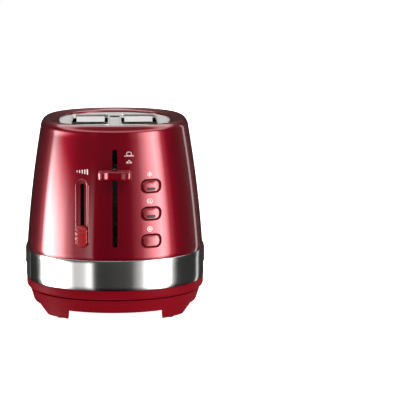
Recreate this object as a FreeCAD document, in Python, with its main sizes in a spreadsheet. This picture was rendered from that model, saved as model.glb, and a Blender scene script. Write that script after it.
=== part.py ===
"""Two-slot pop-up toaster with a tapered lacquered housing, in millimetres.

The front, with the lever, faces -Y. The sub-parts are drawn about the middle of the body, and
written with the origin on the table at the middle of the whole footprint, lever included.
"""
import FreeCAD, Part

import math
import os
import re

import Sketcher

DIMENSIONS = {
    # outer form
    "waist_half_width": (93.4, "half width of the housing at its lower edge"),
    "waist_half_depth": (148.0, "half depth of the housing at its lower edge"),
    "taper_slope": (0.0653, "inward lean of the housing wall"),
    "taper_bulge": (0.00042, "inward curvature of the housing wall"),
    "housing_bottom": (64.4, "height of the housing's lower edge"),
    "housing_top": (199.5, "height of the crest of the rim"),
    "shoulder_radius": (8.5, "rounding of the upper edge"),
    "wall": (1.2, "sheet of the housing"),
    "rim_inner_half_width": (58.5, "half width of the hole in the rim"),
    "rim_inner_half_depth": (112.0, "half depth of the hole in the rim"),
    "rim_drop": (2.3, "how far the rim slopes down to that hole"),
    "deck_top": (194.9, "upper face of the steel deck"),
    "deck_sheet": (1.0, "deck sheet"),
    "band_bottom": (33.7, "lower edge of the steel band"),
    "band_sheet": (1.0, "steel band sheet"),
    "skirt_top": (24.3, "height of the groove under the base ring"),
    "skirt_bottom": (10.2, "lower edge of the skirt between the legs"),
    "leg_bottom": (1.0, "lower face of the moulded legs"),
    "leg_inner_x": (48.0, "inner side of each leg"),
    "leg_inner_y": (79.0, "inner end of each leg, under the skirt"),
    "leg_foot_y": (95.0, "inner end of each leg, at its lower face"),
    "pad_x": (54.5, "foot pads from the centre line"),
    "pad_y": (102.0, "foot pads from the middle"),
    "base_wall": (2.2, "wall of the base moulding"),
    "chassis_top": (187.0, "upper edge of the end plates"),
    "rack_slot_middle": (102.5, "middle height of the racks' slots in the end plates"),
    "rack_slot_tall": (92.0, "height of those slots"),
    "floor_top": (14.0, "upper face of the base floor"),
    "floor_sheet": (2.5, "base floor"),
    "grip_bottom": (34.0, "lower edge of the side grips"),
    "grip_top": (64.1, "upper edge of the side grips"),
    "grip_half_length": (69.0, "half length of the side grips"),
    "lip_bottom": (48.5, "lower edge of the lifting lips"),
    "lip_top": (62.0, "upper edge of the lifting lips"),
    "lip_half_length": (42.0, "half length of the lifting lips"),
    # bread slots
    "slot_x": (26.2, "centre of each bread slot from the middle"),
    "slot_width": (38.0, "width of a bread slot"),
    "slot_length": (138.0, "length of a bread slot"),
    "slot_lip": (1.5, "width and height of the raised lip"),
    "notch_start": (42.0, "front edge of the opening in the bridge between the slots"),
    "flange_drop": (7.0, "depth of the folded flange at a slot's ends"),
    # chassis
    "chassis_y": (75.0, "inner face of each end plate from the middle"),
    "chassis_half_width": (57.0, "half width of the end plates"),
    "chassis_bottom": (52.0, "lower edge of the end plates between their feet"),
    "sheet": (0.8, "chassis sheet"),
    "heater_x": (21.5, "heater board from the slot's centre"),
    "heater_length": (136.0, "length of a heater board"),
    "heater_height": (116.0, "height of a heater board"),
    "heater_bottom": (66.0, "lower edge of a heater board"),
    "mica": (0.6, "thickness of a heater board"),
    "ribbon": (0.4, "thickness of the heating ribbon"),
    "ribbon_width": (1.6, "width of the heating ribbon"),
    "ribbon_pitch": (9.0, "spacing of the ribbon's turns"),
    "guide_x": (17.0, "bread guide from the slot's centre when open"),
    "guide_wire": (1.6, "diameter of the guide wires"),
    "guide_pitch": (16.5, "spacing of the guide wires"),
    "guide_bottom": (68.0, "lower rail of a bread guide"),
    "guide_top": (185.0, "upper rail of a bread guide"),
    # carriage
    "lever_height": (152.3, "centre height of the lever at rest"),
    "lever_width": (33.5, "width of the lever knob"),
    "lever_thickness": (10.0, "height of the lever knob"),
    "lever_front": (165.7, "front of the lever knob from the middle"),
    "lever_back": (148.2, "back of the lever knob from the middle"),
    "lever_slot_width": (5.0, "width of the lever slot"),
    "lever_slot_bottom": (78.0, "lower end of the lever slot"),
    "lever_slot_top": (176.2, "upper end of the lever slot"),
    "carriage_y": (95.0, "guide rods from the middle"),
    "carriage_bottom": (117.5, "underside of the carriage at rest"),
    "carriage_top": (157.5, "upper side of the carriage at rest"),
    "rod_x": (14.0, "guide rods from the centre line"),
    "rod_radius": (2.0, "guide rod"),
    "running_gap": (0.06, "radial clearance of the carriage on its rods"),
    "rack_top": (127.5, "bread rest height of the racks at rest"),
    # controls
    "slider_x": (-32.9, "browning slider from the centre line"),
    "slider_bezel_width": (13.9, "width of the slider's raised surround"),
    "slider_bezel_bottom": (77.1, "lower end of the surround"),
    "slider_bezel_top": (146.5, "upper end of the surround"),
    "slider_slot_width": (3.8, "width of the slider's slot"),
    "browning_width": (11.6, "width of the browning knob"),
    "browning_height": (21.8, "height of the browning knob"),
    "browning_tilt": (6.2, "lean of the slider's travel, in degrees"),
    "button_x": (36.6, "buttons from the centre line"),
    "button_height": (138.6, "centre height of the upper button"),
    "button_pitch": (27.5, "spacing of the buttons"),
    "button_width": (17.5, "width of a button cap"),
    "button_tall": (11.4, "height of a button cap"),
    "button_hole_width": (21.3, "width of the hole around a button"),
    "button_hole_tall": (14.7, "height of the hole around a button"),
    "board_y": (110.0, "component face of the control board from the middle"),
    # crumb tray and inlet
    "tray_half_width": (48.0, "half width of the crumb tray"),
    "tray_bottom": (38.5, "underside of the crumb tray"),
    "tray_depth": (9.0, "depth of the crumb tray"),
    "tray_mouth_half": (51.0, "half width of the tray's opening in the band"),
    "tray_mouth_bottom": (37.6, "lower edge of that opening"),
    "tray_mouth_top": (50.2, "upper edge of that opening"),
    "inlet_height": (15.4, "centre height of the cord inlet"),
    "inlet_radius": (3.5, "passage of the cord inlet"),
    "origin_shift": (6.0, "body centre behind the middle of the whole footprint"),
}

FLATNESS = 2.8
POINTS_PER_QUARTER = 10
FINE_STEPS = 600
SHEET_NAME = "Sizes"

doc = FreeCAD.newDocument("toaster")
sheet = doc.addObject("Spreadsheet::Sheet", SHEET_NAME)
sheet.Label = "driving dimensions"
nodes = []


def fill_sheet():
    """Write every driving dimension with its alias and meaning."""
    for row, (alias, (value, meaning)) in enumerate(DIMENSIONS.items(), start=1):
        sheet.set(f"A{row}", alias)
        sheet.set(f"B{row}", str(value))
        sheet.setAlias(f"B{row}", alias)
        sheet.set(f"C{row}", meaning)
    doc.recompute()


def size(alias):
    """Value of one driving dimension."""
    return float(sheet.get(alias))


def bound(text):
    """Expression text with each alias pointing at the sheet."""
    return re.sub(r"\b([a-z][a-z_]+)\b", SHEET_NAME + r".\1", str(text))


def bind(item, **expressions):
    """Bind properties such as Length, or x, y and z of the placement, to the sheet."""
    for name, text in expressions.items():
        path = f".Placement.Base.{name}" if name in "xyz" else name
        item.setExpression(path, bound(text))
    return item


def keep(item, node):
    """Give a finished sub-part its node name."""
    item.Label = node
    nodes.append(item)
    return item


# ---------------------------------------------------------------- parametric primitives


def box(name, lengths, corner):
    """Part::Box with its three lengths and its low corner as expressions."""
    item = doc.addObject("Part::Box", name)
    bind(item, Length=lengths[0], Width=lengths[1], Height=lengths[2])
    return bind(item, x=corner[0], y=corner[1], z=corner[2])


def plate(name, low, high):
    """Part::Box between two opposite corners given as expressions."""
    lengths = [f"({b}) - ({a})" for a, b in zip(low, high)]
    return box(name, lengths, low)


AXIS_TURNS = {
    "x": FreeCAD.Rotation(FreeCAD.Vector(0, 1, 0), 90),
    "y": FreeCAD.Rotation(FreeCAD.Vector(1, 0, 0), -90),
    "z": FreeCAD.Rotation(),
}


def rod(name, radius, length, start, along="z"):
    """Part::Cylinder from a start point along a row axis."""
    item = doc.addObject("Part::Cylinder", name)
    item.Placement.Rotation = AXIS_TURNS[along]
    bind(item, Radius=radius, Height=length)
    return bind(item, x=start[0], y=start[1], z=start[2])


def cut(name, base, tools):
    """Part::Cut of one item by another, or by several joined ones."""
    item = doc.addObject("Part::Cut", name)
    item.Base = base
    item.Tool = tools[0] if len(tools) == 1 else fuse(name + "_tools", tools)
    return item


def fuse(name, items):
    """Part::MultiFuse of several items."""
    item = doc.addObject("Part::MultiFuse", name)
    item.Shapes = items
    return item


def group(name, items):
    """Part::Compound of separate identical solids that share a node."""
    item = doc.addObject("Part::Compound", name)
    item.Links = items
    return item


def feature(name, shape):
    """Part::Feature for a shape that follows the housing's curved skin."""
    item = doc.addObject("Part::Feature", name)
    item.Shape = shape
    return item


# ---------------------------------------------------------------- sketched bodies


def new_body(name):
    """Empty PartDesign::Body."""
    return doc.addObject("PartDesign::Body", name)


def sketch_on(body, name, role, offset):
    """Sketch on one origin plane of its body, moved along the plane's normal."""
    sketch = body.newObject("Sketcher::SketchObject", name)
    origin = next(f for f in body.Origin.OriginFeatures if f.Role == role)
    sketch.AttachmentSupport = [(origin, "")]
    sketch.MapMode = "FlatFace"
    sketch.setExpression(".AttachmentOffset.Base.z", bound(offset))
    return sketch


def draw_rectangle(sketch, centre, width, height):
    """Constrained rectangle: centre and sides are expressions in the sketch's plane."""
    first = sketch.GeometryCount
    corners = [(-1, -1), (1, -1), (1, 1), (-1, 1)]
    points = [FreeCAD.Vector(x + 10 * first, y, 0) for x, y in corners]
    for here, there in zip(points, points[1:] + points[:1]):
        sketch.addGeometry(Part.LineSegment(here, there), False)
    constrain = sketch.addConstraint
    for side in range(4):
        following = first + (side + 1) % 4
        constrain(Sketcher.Constraint("Coincident", first + side, 2, following, 1))
        kind = "Horizontal" if side % 2 == 0 else "Vertical"
        constrain(Sketcher.Constraint(kind, first + side))
    low_x = f"({centre[0]}) - ({width}) / 2"
    low_y = f"({centre[1]}) - ({height}) / 2"
    measures = [
        ("DistanceX", (first, 1, first, 2), width),
        ("DistanceY", (first + 1, 1, first + 1, 2), height),
        ("DistanceX", (-1, 1, first, 1), low_x),
        ("DistanceY", (-1, 1, first, 1), low_y),
    ]
    for kind, places, text in measures:
        index = constrain(Sketcher.Constraint(kind, *places, 1.0))
        sketch.setExpression(f"Constraints[{index}]", bound(text))
    return sketch


def pad(body, sketch, length):
    """Pad of a sketch along the plane's normal."""
    item = body.newObject("PartDesign::Pad", sketch.Name + "_pad")
    item.Profile = sketch
    item.setExpression("Length", bound(length))
    return item


def pocket_through(body, sketch):
    """Pocket of a sketch through the whole body, both ways."""
    item = body.newObject("PartDesign::Pocket", sketch.Name + "_pocket")
    item.Profile = sketch
    item.Type = "ThroughAll"
    item.Midplane = True
    return item


# ---------------------------------------------------------------- the curved skin


def quarter(half_x, half_y, power_x, power_y):
    """Evenly spaced points of |x/a|^p + |y/b|^q = 1 from the +X axis up to the +Y axis."""
    fine = []
    for step in range(FINE_STEPS + 1):
        angle = math.pi / 2 * step / FINE_STEPS
        x = half_x * math.cos(angle) ** (2 / power_x)
        y = half_y * math.sin(angle) ** (2 / power_y)
        fine.append((x, y))
    run = [0.0]
    for here, there in zip(fine, fine[1:]):
        run.append(run[-1] + math.dist(here, there))
    points = []
    step = 0
    for index in range(POINTS_PER_QUARTER):
        goal = run[-1] * index / POINTS_PER_QUARTER
        while run[step + 1] < goal:
            step += 1
        points.append(fine[step])
    return points


def outline(half_width, half_depth, height):
    """Closed plan curve of the toaster: rounded ends and nearly straight flanks."""
    east = quarter(half_width, half_depth, 2.0, FLATNESS)
    north = quarter(half_depth, half_width, FLATNESS, 2.0)
    points = list(east)
    points += [(-y, x) for x, y in north]
    points += [(-x, -y) for x, y in east]
    points += [(y, -x) for x, y in north]
    curve = Part.BSplineCurve()
    curve.interpolate(Points=[FreeCAD.Vector(x, y, height) for x, y in points], PeriodicFlag=True)
    return Part.Wire([curve.toShape()])


def lofted(sections):
    """Solid through plan outlines given as (half width, half depth, height)."""
    return Part.makeLoft([outline(*section) for section in sections], True, False)


def lean(height):
    """How far the housing wall has leaned in at a height."""
    rise = height - size("housing_bottom")
    return size("taper_slope") * rise + size("taper_bulge") * rise * rise


def skin(offset, low, high):
    """Solid inside the housing's outer skin, moved outward by an offset."""
    steps = 5
    sections = []
    for step in range(steps + 1):
        height = low + (high - low) * step / steps
        half_width = size("waist_half_width") - lean(height) + offset
        half_depth = size("waist_half_depth") - lean(height) + offset
        sections.append((half_width, half_depth, height))
    return lofted(sections)


def straight(offset, low, high):
    """Upright solid on the waist outline, moved outward by an offset."""
    half_width = size("waist_half_width") + offset
    half_depth = size("waist_half_depth") + offset
    return lofted([(half_width, half_depth, low), (half_width, half_depth, high)])


def block(low, high):
    """Box between two corners."""
    spans = [b - a for a, b in zip(low, high)]
    return Part.makeBox(*spans, FreeCAD.Vector(*low))


def upright_edges(shape, direction):
    """Straight edges of a shape that run along one axis index."""
    edges = []
    for edge in shape.Edges:
        if edge.Curve.TypeId == "Part::GeomLine" and abs(edge.Curve.Direction[direction]) > 0.99:
            edges.append(edge)
    return edges


def rounded_block(low, high, radius, direction):
    """Box whose edges along one axis index are rounded."""
    shape = block(low, high)
    return shape.makeFillet(radius, upright_edges(shape, direction))


def front_prism(x, z, width, height, radius, depth=(-170.0, -105.0)):
    """Rounded rectangle seen from the front, running along Y."""
    low = (x - width / 2, depth[0], z - height / 2)
    high = (x + width / 2, depth[1], z + height / 2)
    return rounded_block(low, high, radius, 1)


# ---------------------------------------------------------------- shell


def slider_opening(width, low, high):
    """Racetrack at the browning slider, from one height to another."""
    middle = (low + high) / 2
    return front_prism(size("slider_x"), middle, width, high - low, width / 2 - 0.01)


def button_heights():
    """Centre heights of the three buttons, from the top."""
    return [size("button_height") - size("button_pitch") * index for index in range(3)]


def button_hole(height, margin=0.0):
    """Rounded hole around one button."""
    width = size("button_hole_width") + 2 * margin
    tall = size("button_hole_tall") + 2 * margin
    return front_prism(size("button_x"), height, width, tall, tall * 0.42)


def shoulder():
    """Rounded top of the housing, from the leaning wall over to the crest."""
    radius = size("shoulder_radius")
    start = size("housing_top") - radius
    steps = 6
    sections = []
    for step in range(steps + 1):
        angle = math.pi / 2 * step / steps
        inset = lean(start) + radius * (1 - math.cos(angle))
        half_width = size("waist_half_width") - inset
        half_depth = size("waist_half_depth") - inset
        sections.append((half_width, half_depth, start + radius * math.sin(angle)))
    return lofted(sections)


def outer_housing():
    """Lacquered metal shell with its shoulder, sloping inner rim and control openings."""
    top = size("housing_top")
    bottom = size("housing_bottom")
    shell = skin(0.0, bottom, top - size("shoulder_radius")).fuse(shoulder())
    ledge = top - size("rim_drop")
    across = size("rim_inner_half_width")
    along = size("rim_inner_half_depth")
    crest_inset = lean(top - size("shoulder_radius")) + size("shoulder_radius")
    crest_flat = 0.5
    slope = size("waist_half_width") - crest_inset - crest_flat - across
    overshoot = 0.5
    factor = 1 + overshoot / size("rim_drop")
    funnel = lofted([
        (across, along, ledge),
        (across + slope * factor, along + slope * factor, top + overshoot),
    ])
    mouth = lofted([(across, along, ledge - 20.0), (across, along, ledge + 0.01)])
    cavity = skin(-size("wall"), bottom - 1.0, size("deck_top"))
    shell = shell.cut(funnel).cut(mouth).cut(cavity)
    slot_middle = (size("lever_slot_bottom") + size("lever_slot_top")) / 2
    slot_height = size("lever_slot_top") - size("lever_slot_bottom")
    slot_width = size("lever_slot_width")
    shell = shell.cut(front_prism(0.0, slot_middle, slot_width, slot_height, slot_width / 2 - 0.01))
    shell = shell.cut(slider_opening(8.0, size("slider_bezel_bottom") + 3, size("slider_bezel_top") - 3))
    for height in button_heights():
        shell = shell.cut(button_hole(height))
    keep(feature("OuterHousing", shell.removeSplitter()), "outer_housing")


def top_deck():
    """Satin steel deck with lipped bread slots and a folded flange at each slot's ends."""
    top = size("deck_top")
    sheet_thickness = size("deck_sheet")
    gap = 0.3
    reach = lean(top) + size("wall") + gap
    across = size("waist_half_width") - reach
    along = size("waist_half_depth") - reach
    deck = lofted([(across, along, top - sheet_thickness), (across, along, top)])
    half_length = size("slot_length") / 2
    half_width = size("slot_width") / 2
    lip = size("slot_lip")
    corner = 4.0
    for side in (-1, 1):
        centre = side * size("slot_x")
        low = (centre - half_width - lip, -half_length - lip, top - sheet_thickness / 2)
        high = (centre + half_width + lip, half_length + lip, top + lip)
        raised = rounded_block(low, high, corner + lip, 2)
        deck = deck.fuse(raised)
    for side in (-1, 1):
        centre = side * size("slot_x")
        low = (centre - half_width, -half_length, top - 5.0)
        high = (centre + half_width, half_length, top + 5.0)
        deck = deck.cut(rounded_block(low, high, corner, 2))
        flange_half = half_width - 3.5
        for end in (-1, 1):
            deck = deck.fuse(lead_in(centre, flange_half, end, top))
    bridge = size("slot_x") - half_width - lip - 0.4
    notch = (size("notch_start"), half_length - 2.0)
    deck = deck.cut(block((-bridge, notch[0], top - 5.0), (bridge, notch[1], top + 5.0)))
    keep(feature("TopDeck", deck.removeSplitter()), "top_deck")


def lead_in(centre, half, end, top):
    """Folded flange at a slot's end, leaning in under the deck to guide the bread."""
    edge = size("slot_length") / 2
    thickness = size("deck_sheet")
    drop = size("flange_drop")
    lean_in = 2.6
    corners = [
        (edge + thickness, top - thickness / 2), (edge, top - thickness / 2),
        (edge - lean_in, top - drop), (edge - lean_in + thickness, top - drop),
    ]
    points = [FreeCAD.Vector(centre - half, end * along, up) for along, up in corners]
    face = Part.Face(Part.makePolygon(points + points[:1]))
    return face.extrude(FreeCAD.Vector(2 * half, 0, 0))


def steel_band():
    """Brushed steel band around the waist, open at the rear for the crumb tray."""
    low = size("band_bottom")
    high = size("housing_bottom")
    proud = 0.4
    band = straight(proud, low, high).cut(straight(proud - size("band_sheet"), low - 1, high + 1))
    mouth = size("tray_mouth_half")
    band = band.cut(block(
        (-mouth, 60, size("tray_mouth_bottom")), (mouth, 160, size("tray_mouth_top")),
    ))
    keep(feature("SteelBand", band), "steel_band")
    gap = 0.4
    front = block(
        (-mouth + gap, 60, size("tray_mouth_bottom") + gap),
        (mouth - gap, 160, size("tray_mouth_top") - gap),
    )
    fascia_wall = 3.0
    fascia = straight(proud, low, high).cut(straight(proud - fascia_wall, low - 1, high + 1)).common(front)
    web = block((-30, 129, 41.0), (30, 146.5, 46.5))
    pull = rounded_block((-22, 146, 41.0), (22, 153.7, 46.5), 2.0, 0)
    keep(feature("TrayFascia", fascia.fuse([web, pull]).removeSplitter()), "crumb_tray_handle")


def base():
    """Moulded base: proud ring, groove, skirt, floor and four legs in one piece."""
    ring_low = size("skirt_top")
    ring_high = size("band_bottom")
    waist = size("waist_half_width")
    depth = size("waist_half_depth")
    ring = lofted([
        (waist - 2.4, depth - 2.4, ring_low),
        (waist - 0.2, depth - 0.2, ring_low + 1.6),
        (waist + 0.8, depth + 0.8, ring_low + 4.0),
        (waist + 0.8, depth + 0.8, ring_high),
    ])
    groove = lofted([
        (waist - 6.6, depth - 6.6, ring_low - 1.2), (waist - 6.6, depth - 6.6, ring_low + 0.2),
    ])
    leg_low = size("leg_bottom")
    skirt = lofted([
        (waist - 8.8, depth - 8.4, leg_low),
        (waist - 7.6, depth - 7.5, size("skirt_bottom")),
        (waist - 6.2, depth - 6.2, 17.0),
        (waist - 5.0, depth - 5.0, ring_low - 1.2),
    ])
    between = skirt_relief(skirt)
    hollow = lofted([
        (waist - 6.6 - size("base_wall"), depth - 6.6 - size("base_wall"), size("floor_top")),
        (waist - 6.6 - size("base_wall"), depth - 6.6 - size("base_wall"), ring_low),
    ]).fuse(lofted([
        (waist - 6.6 - size("base_wall"), depth - 6.6 - size("base_wall"), ring_low - 0.01),
        (waist - size("base_wall"), depth - size("base_wall"), ring_low + 6.0),
        (waist - size("base_wall"), depth - size("base_wall"), ring_high + 1.0),
    ]))
    shape = ring.fuse([groove, skirt]).cut(between).cut(hollow)
    under = block((-70.0, -118.0, 0.0), (70.0, 118.0, size("floor_top") - size("floor_sheet")))
    shape = shape.cut(under.cut(legs()))
    pads = []
    for x in (-1, 1):
        for y in (-1, 1):
            across = x * size("pad_x")
            along = y * size("pad_y")
            spot = rounded_block(
                (across - 5.0, along - 6.0, 0.0), (across + 5.0, along + 6.0, 3.0), 4.5, 2,
            )
            shape = shape.cut(spot)
            pads.append(spot)
    inlet = Part.makeCylinder(
        size("inlet_radius") + 2.0, 30, FreeCAD.Vector(0, 131, size("inlet_height")),
        FreeCAD.Vector(0, 1, 0),
    )
    shape = shape.cut(inlet)
    keep(feature("Base", shape.removeSplitter()), "base")
    keep(feature("FootPads", Part.makeCompound(pads)), "foot_pads")
    cord_inlet()


def legs():
    """Corner regions of the four legs, whose inner ends slant back under the skirt."""
    reach = 160.0
    low = -1.0
    corners = [
        (size("leg_foot_y"), low), (reach, low), (reach, 20.0), (size("leg_inner_y"), 20.0),
        (size("leg_inner_y"), size("skirt_bottom")), (size("leg_foot_y"), size("leg_bottom")),
    ]
    solids = []
    for x in (-1, 1):
        for y in (-1, 1):
            points = [FreeCAD.Vector(x * size("leg_inner_x"), y * along, up) for along, up in corners]
            face = Part.Face(Part.makePolygon(points + points[:1]))
            solids.append(face.extrude(FreeCAD.Vector(x * 60.0, 0, 0)))
    return Part.makeCompound(solids)


def skirt_relief(skirt):
    """Space between the legs, below the skirt's lower edge."""
    reach = skirt.BoundBox
    space = block(
        (reach.XMin - 5, reach.YMin - 5, -1.0), (reach.XMax + 5, reach.YMax + 5, size("skirt_bottom")),
    )
    return space.cut(legs())


def cord_inlet():
    """Grommet of the cord's way in, at the rear of the skirt."""
    height = size("inlet_height")
    passage = size("inlet_radius")
    backward = FreeCAD.Vector(0, 1, 0)
    sleeve = Part.makeCylinder(passage + 2.0, 12.0, FreeCAD.Vector(0, 131.5, height), backward)
    collar = Part.makeCylinder(passage + 2.5, 1.5, FreeCAD.Vector(0, 143.2, height), backward)
    bore = Part.makeCylinder(passage, 30.0, FreeCAD.Vector(0, 120.0, height), backward)
    keep(feature("CordInlet", sleeve.fuse(collar).cut(bore).removeSplitter()), "cord_inlet")


def side_grips():
    """Dark panel over the band on each flank, with a red lifting lip on its upper half."""
    panel = straight(1.0, size("grip_bottom"), size("grip_top")).cut(straight(0.42, 30.0, 70.0))
    lip = straight(1.9, size("lip_bottom"), size("lip_top")).cut(straight(1.0, 30.0, 70.0))
    pieces = (
        (panel, "side_grip", size("grip_half_length"), size("grip_bottom"), size("grip_top"), 2.0),
        (lip, "lifting_lip", size("lip_half_length"), size("lip_bottom"), size("lip_top"), 5.0),
    )
    for ring, kind, reach, low, high, corner in pieces:
        region = rounded_block((-110.0, -reach, low), (-60.0, reach, high), corner, 0)
        left = ring.common(region)
        right = left.mirror(FreeCAD.Vector(), FreeCAD.Vector(1, 0, 0))
        for shape, word in ((left, "left"), (right, "right")):
            keep(feature(f"{kind}{word}", shape), f"{kind}_{word}")


# ---------------------------------------------------------------- controls


def lever_knob():
    """Waisted bar across the end of the lever arm."""
    half = size("lever_width") / 2
    tall = size("lever_thickness") / 2
    height = size("lever_height")
    front = -size("lever_front")
    back = -size("lever_back")
    hollow = 3.2
    end_radius = 5.0
    outline_points = [
        ((-half, back), (-half, front + end_radius)),
        ((half, front + end_radius), (half, back)),
    ]
    vector = FreeCAD.Vector
    left_end = Part.Arc(
        vector(-half, front + end_radius, 0),
        vector(-half + end_radius * 0.42, front + 0.6, 0),
        vector(-half + end_radius * 1.6, front + 0.5, 0),
    )
    middle = Part.Arc(
        vector(-half + end_radius * 1.6, front + 0.5, 0),
        vector(0, front + hollow, 0),
        vector(half - end_radius * 1.6, front + 0.5, 0),
    )
    right_end = Part.Arc(
        vector(half - end_radius * 1.6, front + 0.5, 0),
        vector(half - end_radius * 0.42, front + 0.6, 0),
        vector(half, front + end_radius, 0),
    )
    sides = [Part.LineSegment(vector(*a, 0), vector(*b, 0)) for a, b in outline_points]
    closing = Part.LineSegment(vector(half, back, 0), vector(-half, back, 0))
    parts = [sides[0], left_end, middle, right_end, sides[1], closing]
    face = Part.Face(Part.Wire([part.toShape() for part in parts]))
    knob = face.extrude(vector(0, 0, 2 * tall))
    knob.translate(vector(0, 0, height - tall))
    rim = [e for e in knob.Edges if e.BoundBox.ZLength < 0.01 and e.BoundBox.YMin < back - 1]
    knob = knob.makeFillet(2.2, rim)
    socket = block((-1.7, back - 6, height - 4.5), (1.7, back + 1, height + 4.5))
    keep(feature("LeverKnob", knob.cut(socket)), "lever_knob")


def slider_assembly():
    """Browning control: raised surround, sliding knob and its leaning potentiometer."""
    low = size("slider_bezel_bottom")
    high = size("slider_bezel_top")
    width = size("slider_bezel_width")
    x = size("slider_x")
    proud = skin(1.2, low - 5, high + 5)
    surround = proud.cut(skin(-1.0, low - 8, high + 8)).common(slider_opening(width, low, high))
    surround = surround.cut(skin(0.0, low - 8, high + 8).cut(slider_opening(8.0, low + 3, high - 3)))
    surround = surround.cut(slider_opening(size("slider_slot_width"), low + 3.5, high - 3.5))
    keep(feature("SliderSurround", surround), "slider_surround")

    tilt = size("browning_tilt")
    knob_low = low + 1.0
    knob_wide = size("browning_width")
    knob_high = knob_low + size("browning_height")
    outer = skin(7.0, low - 10, high + 10)
    inner = skin(1.95, low - 10, high + 10)
    knob = slider_opening(knob_wide, knob_low, knob_high).common(outer).cut(inner)
    middle = (knob_low + knob_high) / 2
    for index in (-1, 0, 1):
        groove = Part.makeCylinder(
            1.0, 40, FreeCAD.Vector(x - 20, -skin_depth(x, middle) - 7.4, middle + 5.0 * index),
            FreeCAD.Vector(1, 0, 0),
        )
        knob = knob.cut(groove)
    stem_back = -skin_depth(x, middle) + 9.0
    stem = block((x - 0.9, -skin_depth(x, middle) - 4, middle - 4), (x + 0.9, stem_back, middle + 4))
    knob = knob.fuse(stem)
    keep(feature("BrowningKnob", knob.removeSplitter()), "browning_knob")

    half_track = (high - low) / 2 - 1.0
    centre = (low + high) / 2
    face = -skin_depth(x, centre) + size("wall") + 4.6
    case = block((x - 4.5, face, centre - half_track), (x + 4.5, face + 8.0, centre + half_track))
    channel = block((x - 1.5, face - 1, centre - half_track + 3), (x + 1.5, face + 7.0, centre + half_track - 3))
    pot = case.cut(channel)
    pot.rotate(FreeCAD.Vector(x, face, centre), FreeCAD.Vector(1, 0, 0), -tilt)
    keep(feature("SliderPotentiometer", pot), "slider_potentiometer")


def skin_depth(x, height):
    """Distance of the housing's front skin from the middle, at a width and height."""
    half_width = size("waist_half_width") - lean(height)
    half_depth = size("waist_half_depth") - lean(height)
    return half_depth * (1 - (x / half_width) ** 2) ** (1 / FLATNESS)


def push_buttons():
    """Three caps with their dark surrounds, lenses and switches."""
    x = size("button_x")
    outer = skin(0.9, 60, 160)
    inner = skin(-6.0, 55, 165)
    surrounds = []
    lenses = []
    for height, word in zip(button_heights(), ("defrost", "reheat", "cancel")):
        wide = size("button_width")
        tall = size("button_tall")
        cap = front_prism(x, height, wide, tall, tall * 0.42).common(outer).cut(inner)
        stem = block((x - 3, -skin_depth(x, height) + 3.0, height - 2.5), (x + 3, -117.0, height + 2.5))
        cap = cap.fuse(stem)
        if word != "cancel":
            window = front_prism(x - 0.3, height - 3.0, 8.8, 3.0, 1.4)
            lens = window.common(skin(0.95, 60, 160)).cut(skin(-0.5, 55, 165))
            cap = cap.cut(window.cut(skin(-0.5, 55, 165)))
            lenses.append(lens)
            keep(feature(f"Lens{word}", lens), f"{word}_indicator_lens")
        keep(feature(f"Button{word}", cap.removeSplitter()), f"{word}_button")
        ring = button_hole(height, -0.02).common(skin(-1.2, 60, 160)).cut(skin(-5.0, 55, 165))
        surrounds.append(ring.cut(front_prism(x, height, wide + 0.9, tall + 0.9, tall * 0.42)))
    keep(feature("ButtonSurrounds", Part.makeCompound(surrounds)), "button_surrounds")


def control_board():
    """Circuit board behind the buttons with three switches, and the screws that hold it."""
    body = new_body("ControlBoard")
    face = sketch_on(body, "BoardOutline", "XZ_Plane", "board_y")
    draw_rectangle(face, ("34", "111"), "36", "84")
    pad(body, face, "1.6").Reversed = True
    keep(body, "control_board")
    switches = []
    for index in range(3):
        height = f"button_height - {index} * button_pitch"
        switches.append(plate(
            f"Switch{index}",
            ("button_x - 3", "-board_y - 4", f"{height} - 3"),
            ("button_x + 3", "-board_y", f"{height} + 3"),
        ))
    keep(group("ButtonSwitches", switches), "button_switches")
    screws = []
    for index, (x, z) in enumerate(((20, 74), (48, 74), (20, 148), (48, 148))):
        head = rod(f"BoardScrewHead{index}", "2.6", "1.6", (x, "-board_y - 1.6", z), "y")
        screws.append(head)
    keep(group("BoardScrews", screws), "board_screws")
    posts = []
    for index, x in enumerate((32, 46)):
        posts.append(plate(
            f"BoardPost{index}", (x, "-board_y + 1.6", "69"), (x + 4, "-chassis_y - sheet", "77"),
        ))
    keep(group("BoardPosts", posts), "board_posts")


# ---------------------------------------------------------------- carriage


def carriage():
    """Folded steel carriage with its lever arm, cross beam and rack arms."""
    back = plate(
        "CarriageBack",
        ("-20", "-carriage_y - 8", "carriage_bottom"), ("20", "-carriage_y - 6.5", "carriage_top"),
    )
    lugs = []
    for name, height in (("Lower", "carriage_bottom"), ("Upper", "carriage_top - 2")):
        lugs.append(plate(
            f"CarriageLug{name}",
            ("-20", "-carriage_y - 8", height), ("20", "-carriage_y + 6.5", f"{height} + 2"),
        ))
    arm = plate(
        "LeverArm",
        ("-1.7", "-lever_back - 6", "lever_height - 4.5"),
        ("1.7", "-carriage_y - 7", "lever_height + 4.5"),
    )
    beam = plate(
        "CrossBeam",
        ("-slot_x - 4", "-carriage_y + 5", "carriage_bottom"),
        ("slot_x + 4", "-carriage_y + 6.5", "rack_top"),
    )
    joined = fuse("CarriageBlank", [back, *lugs, arm, beam])
    bores = []
    for index, side in enumerate(("-rod_x", "rod_x")):
        bores.append(rod(
            f"RodBore{index}", "rod_radius + running_gap", "60",
            (side, "-carriage_y", "carriage_bottom - 10"),
        ))
    spring_hole = rod("SpringHole", "5.2", "10", ("0", "-carriage_y", "carriage_top - 5"))
    keep(cut("Carriage", joined, [*bores, spring_hole]), "carriage")
    keep(plate(
        "Armature",
        ("-8", "-carriage_y - 6", "carriage_bottom - 2"),
        ("8", "-carriage_y + 6", "carriage_bottom"),
    ), "armature_plate")


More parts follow.
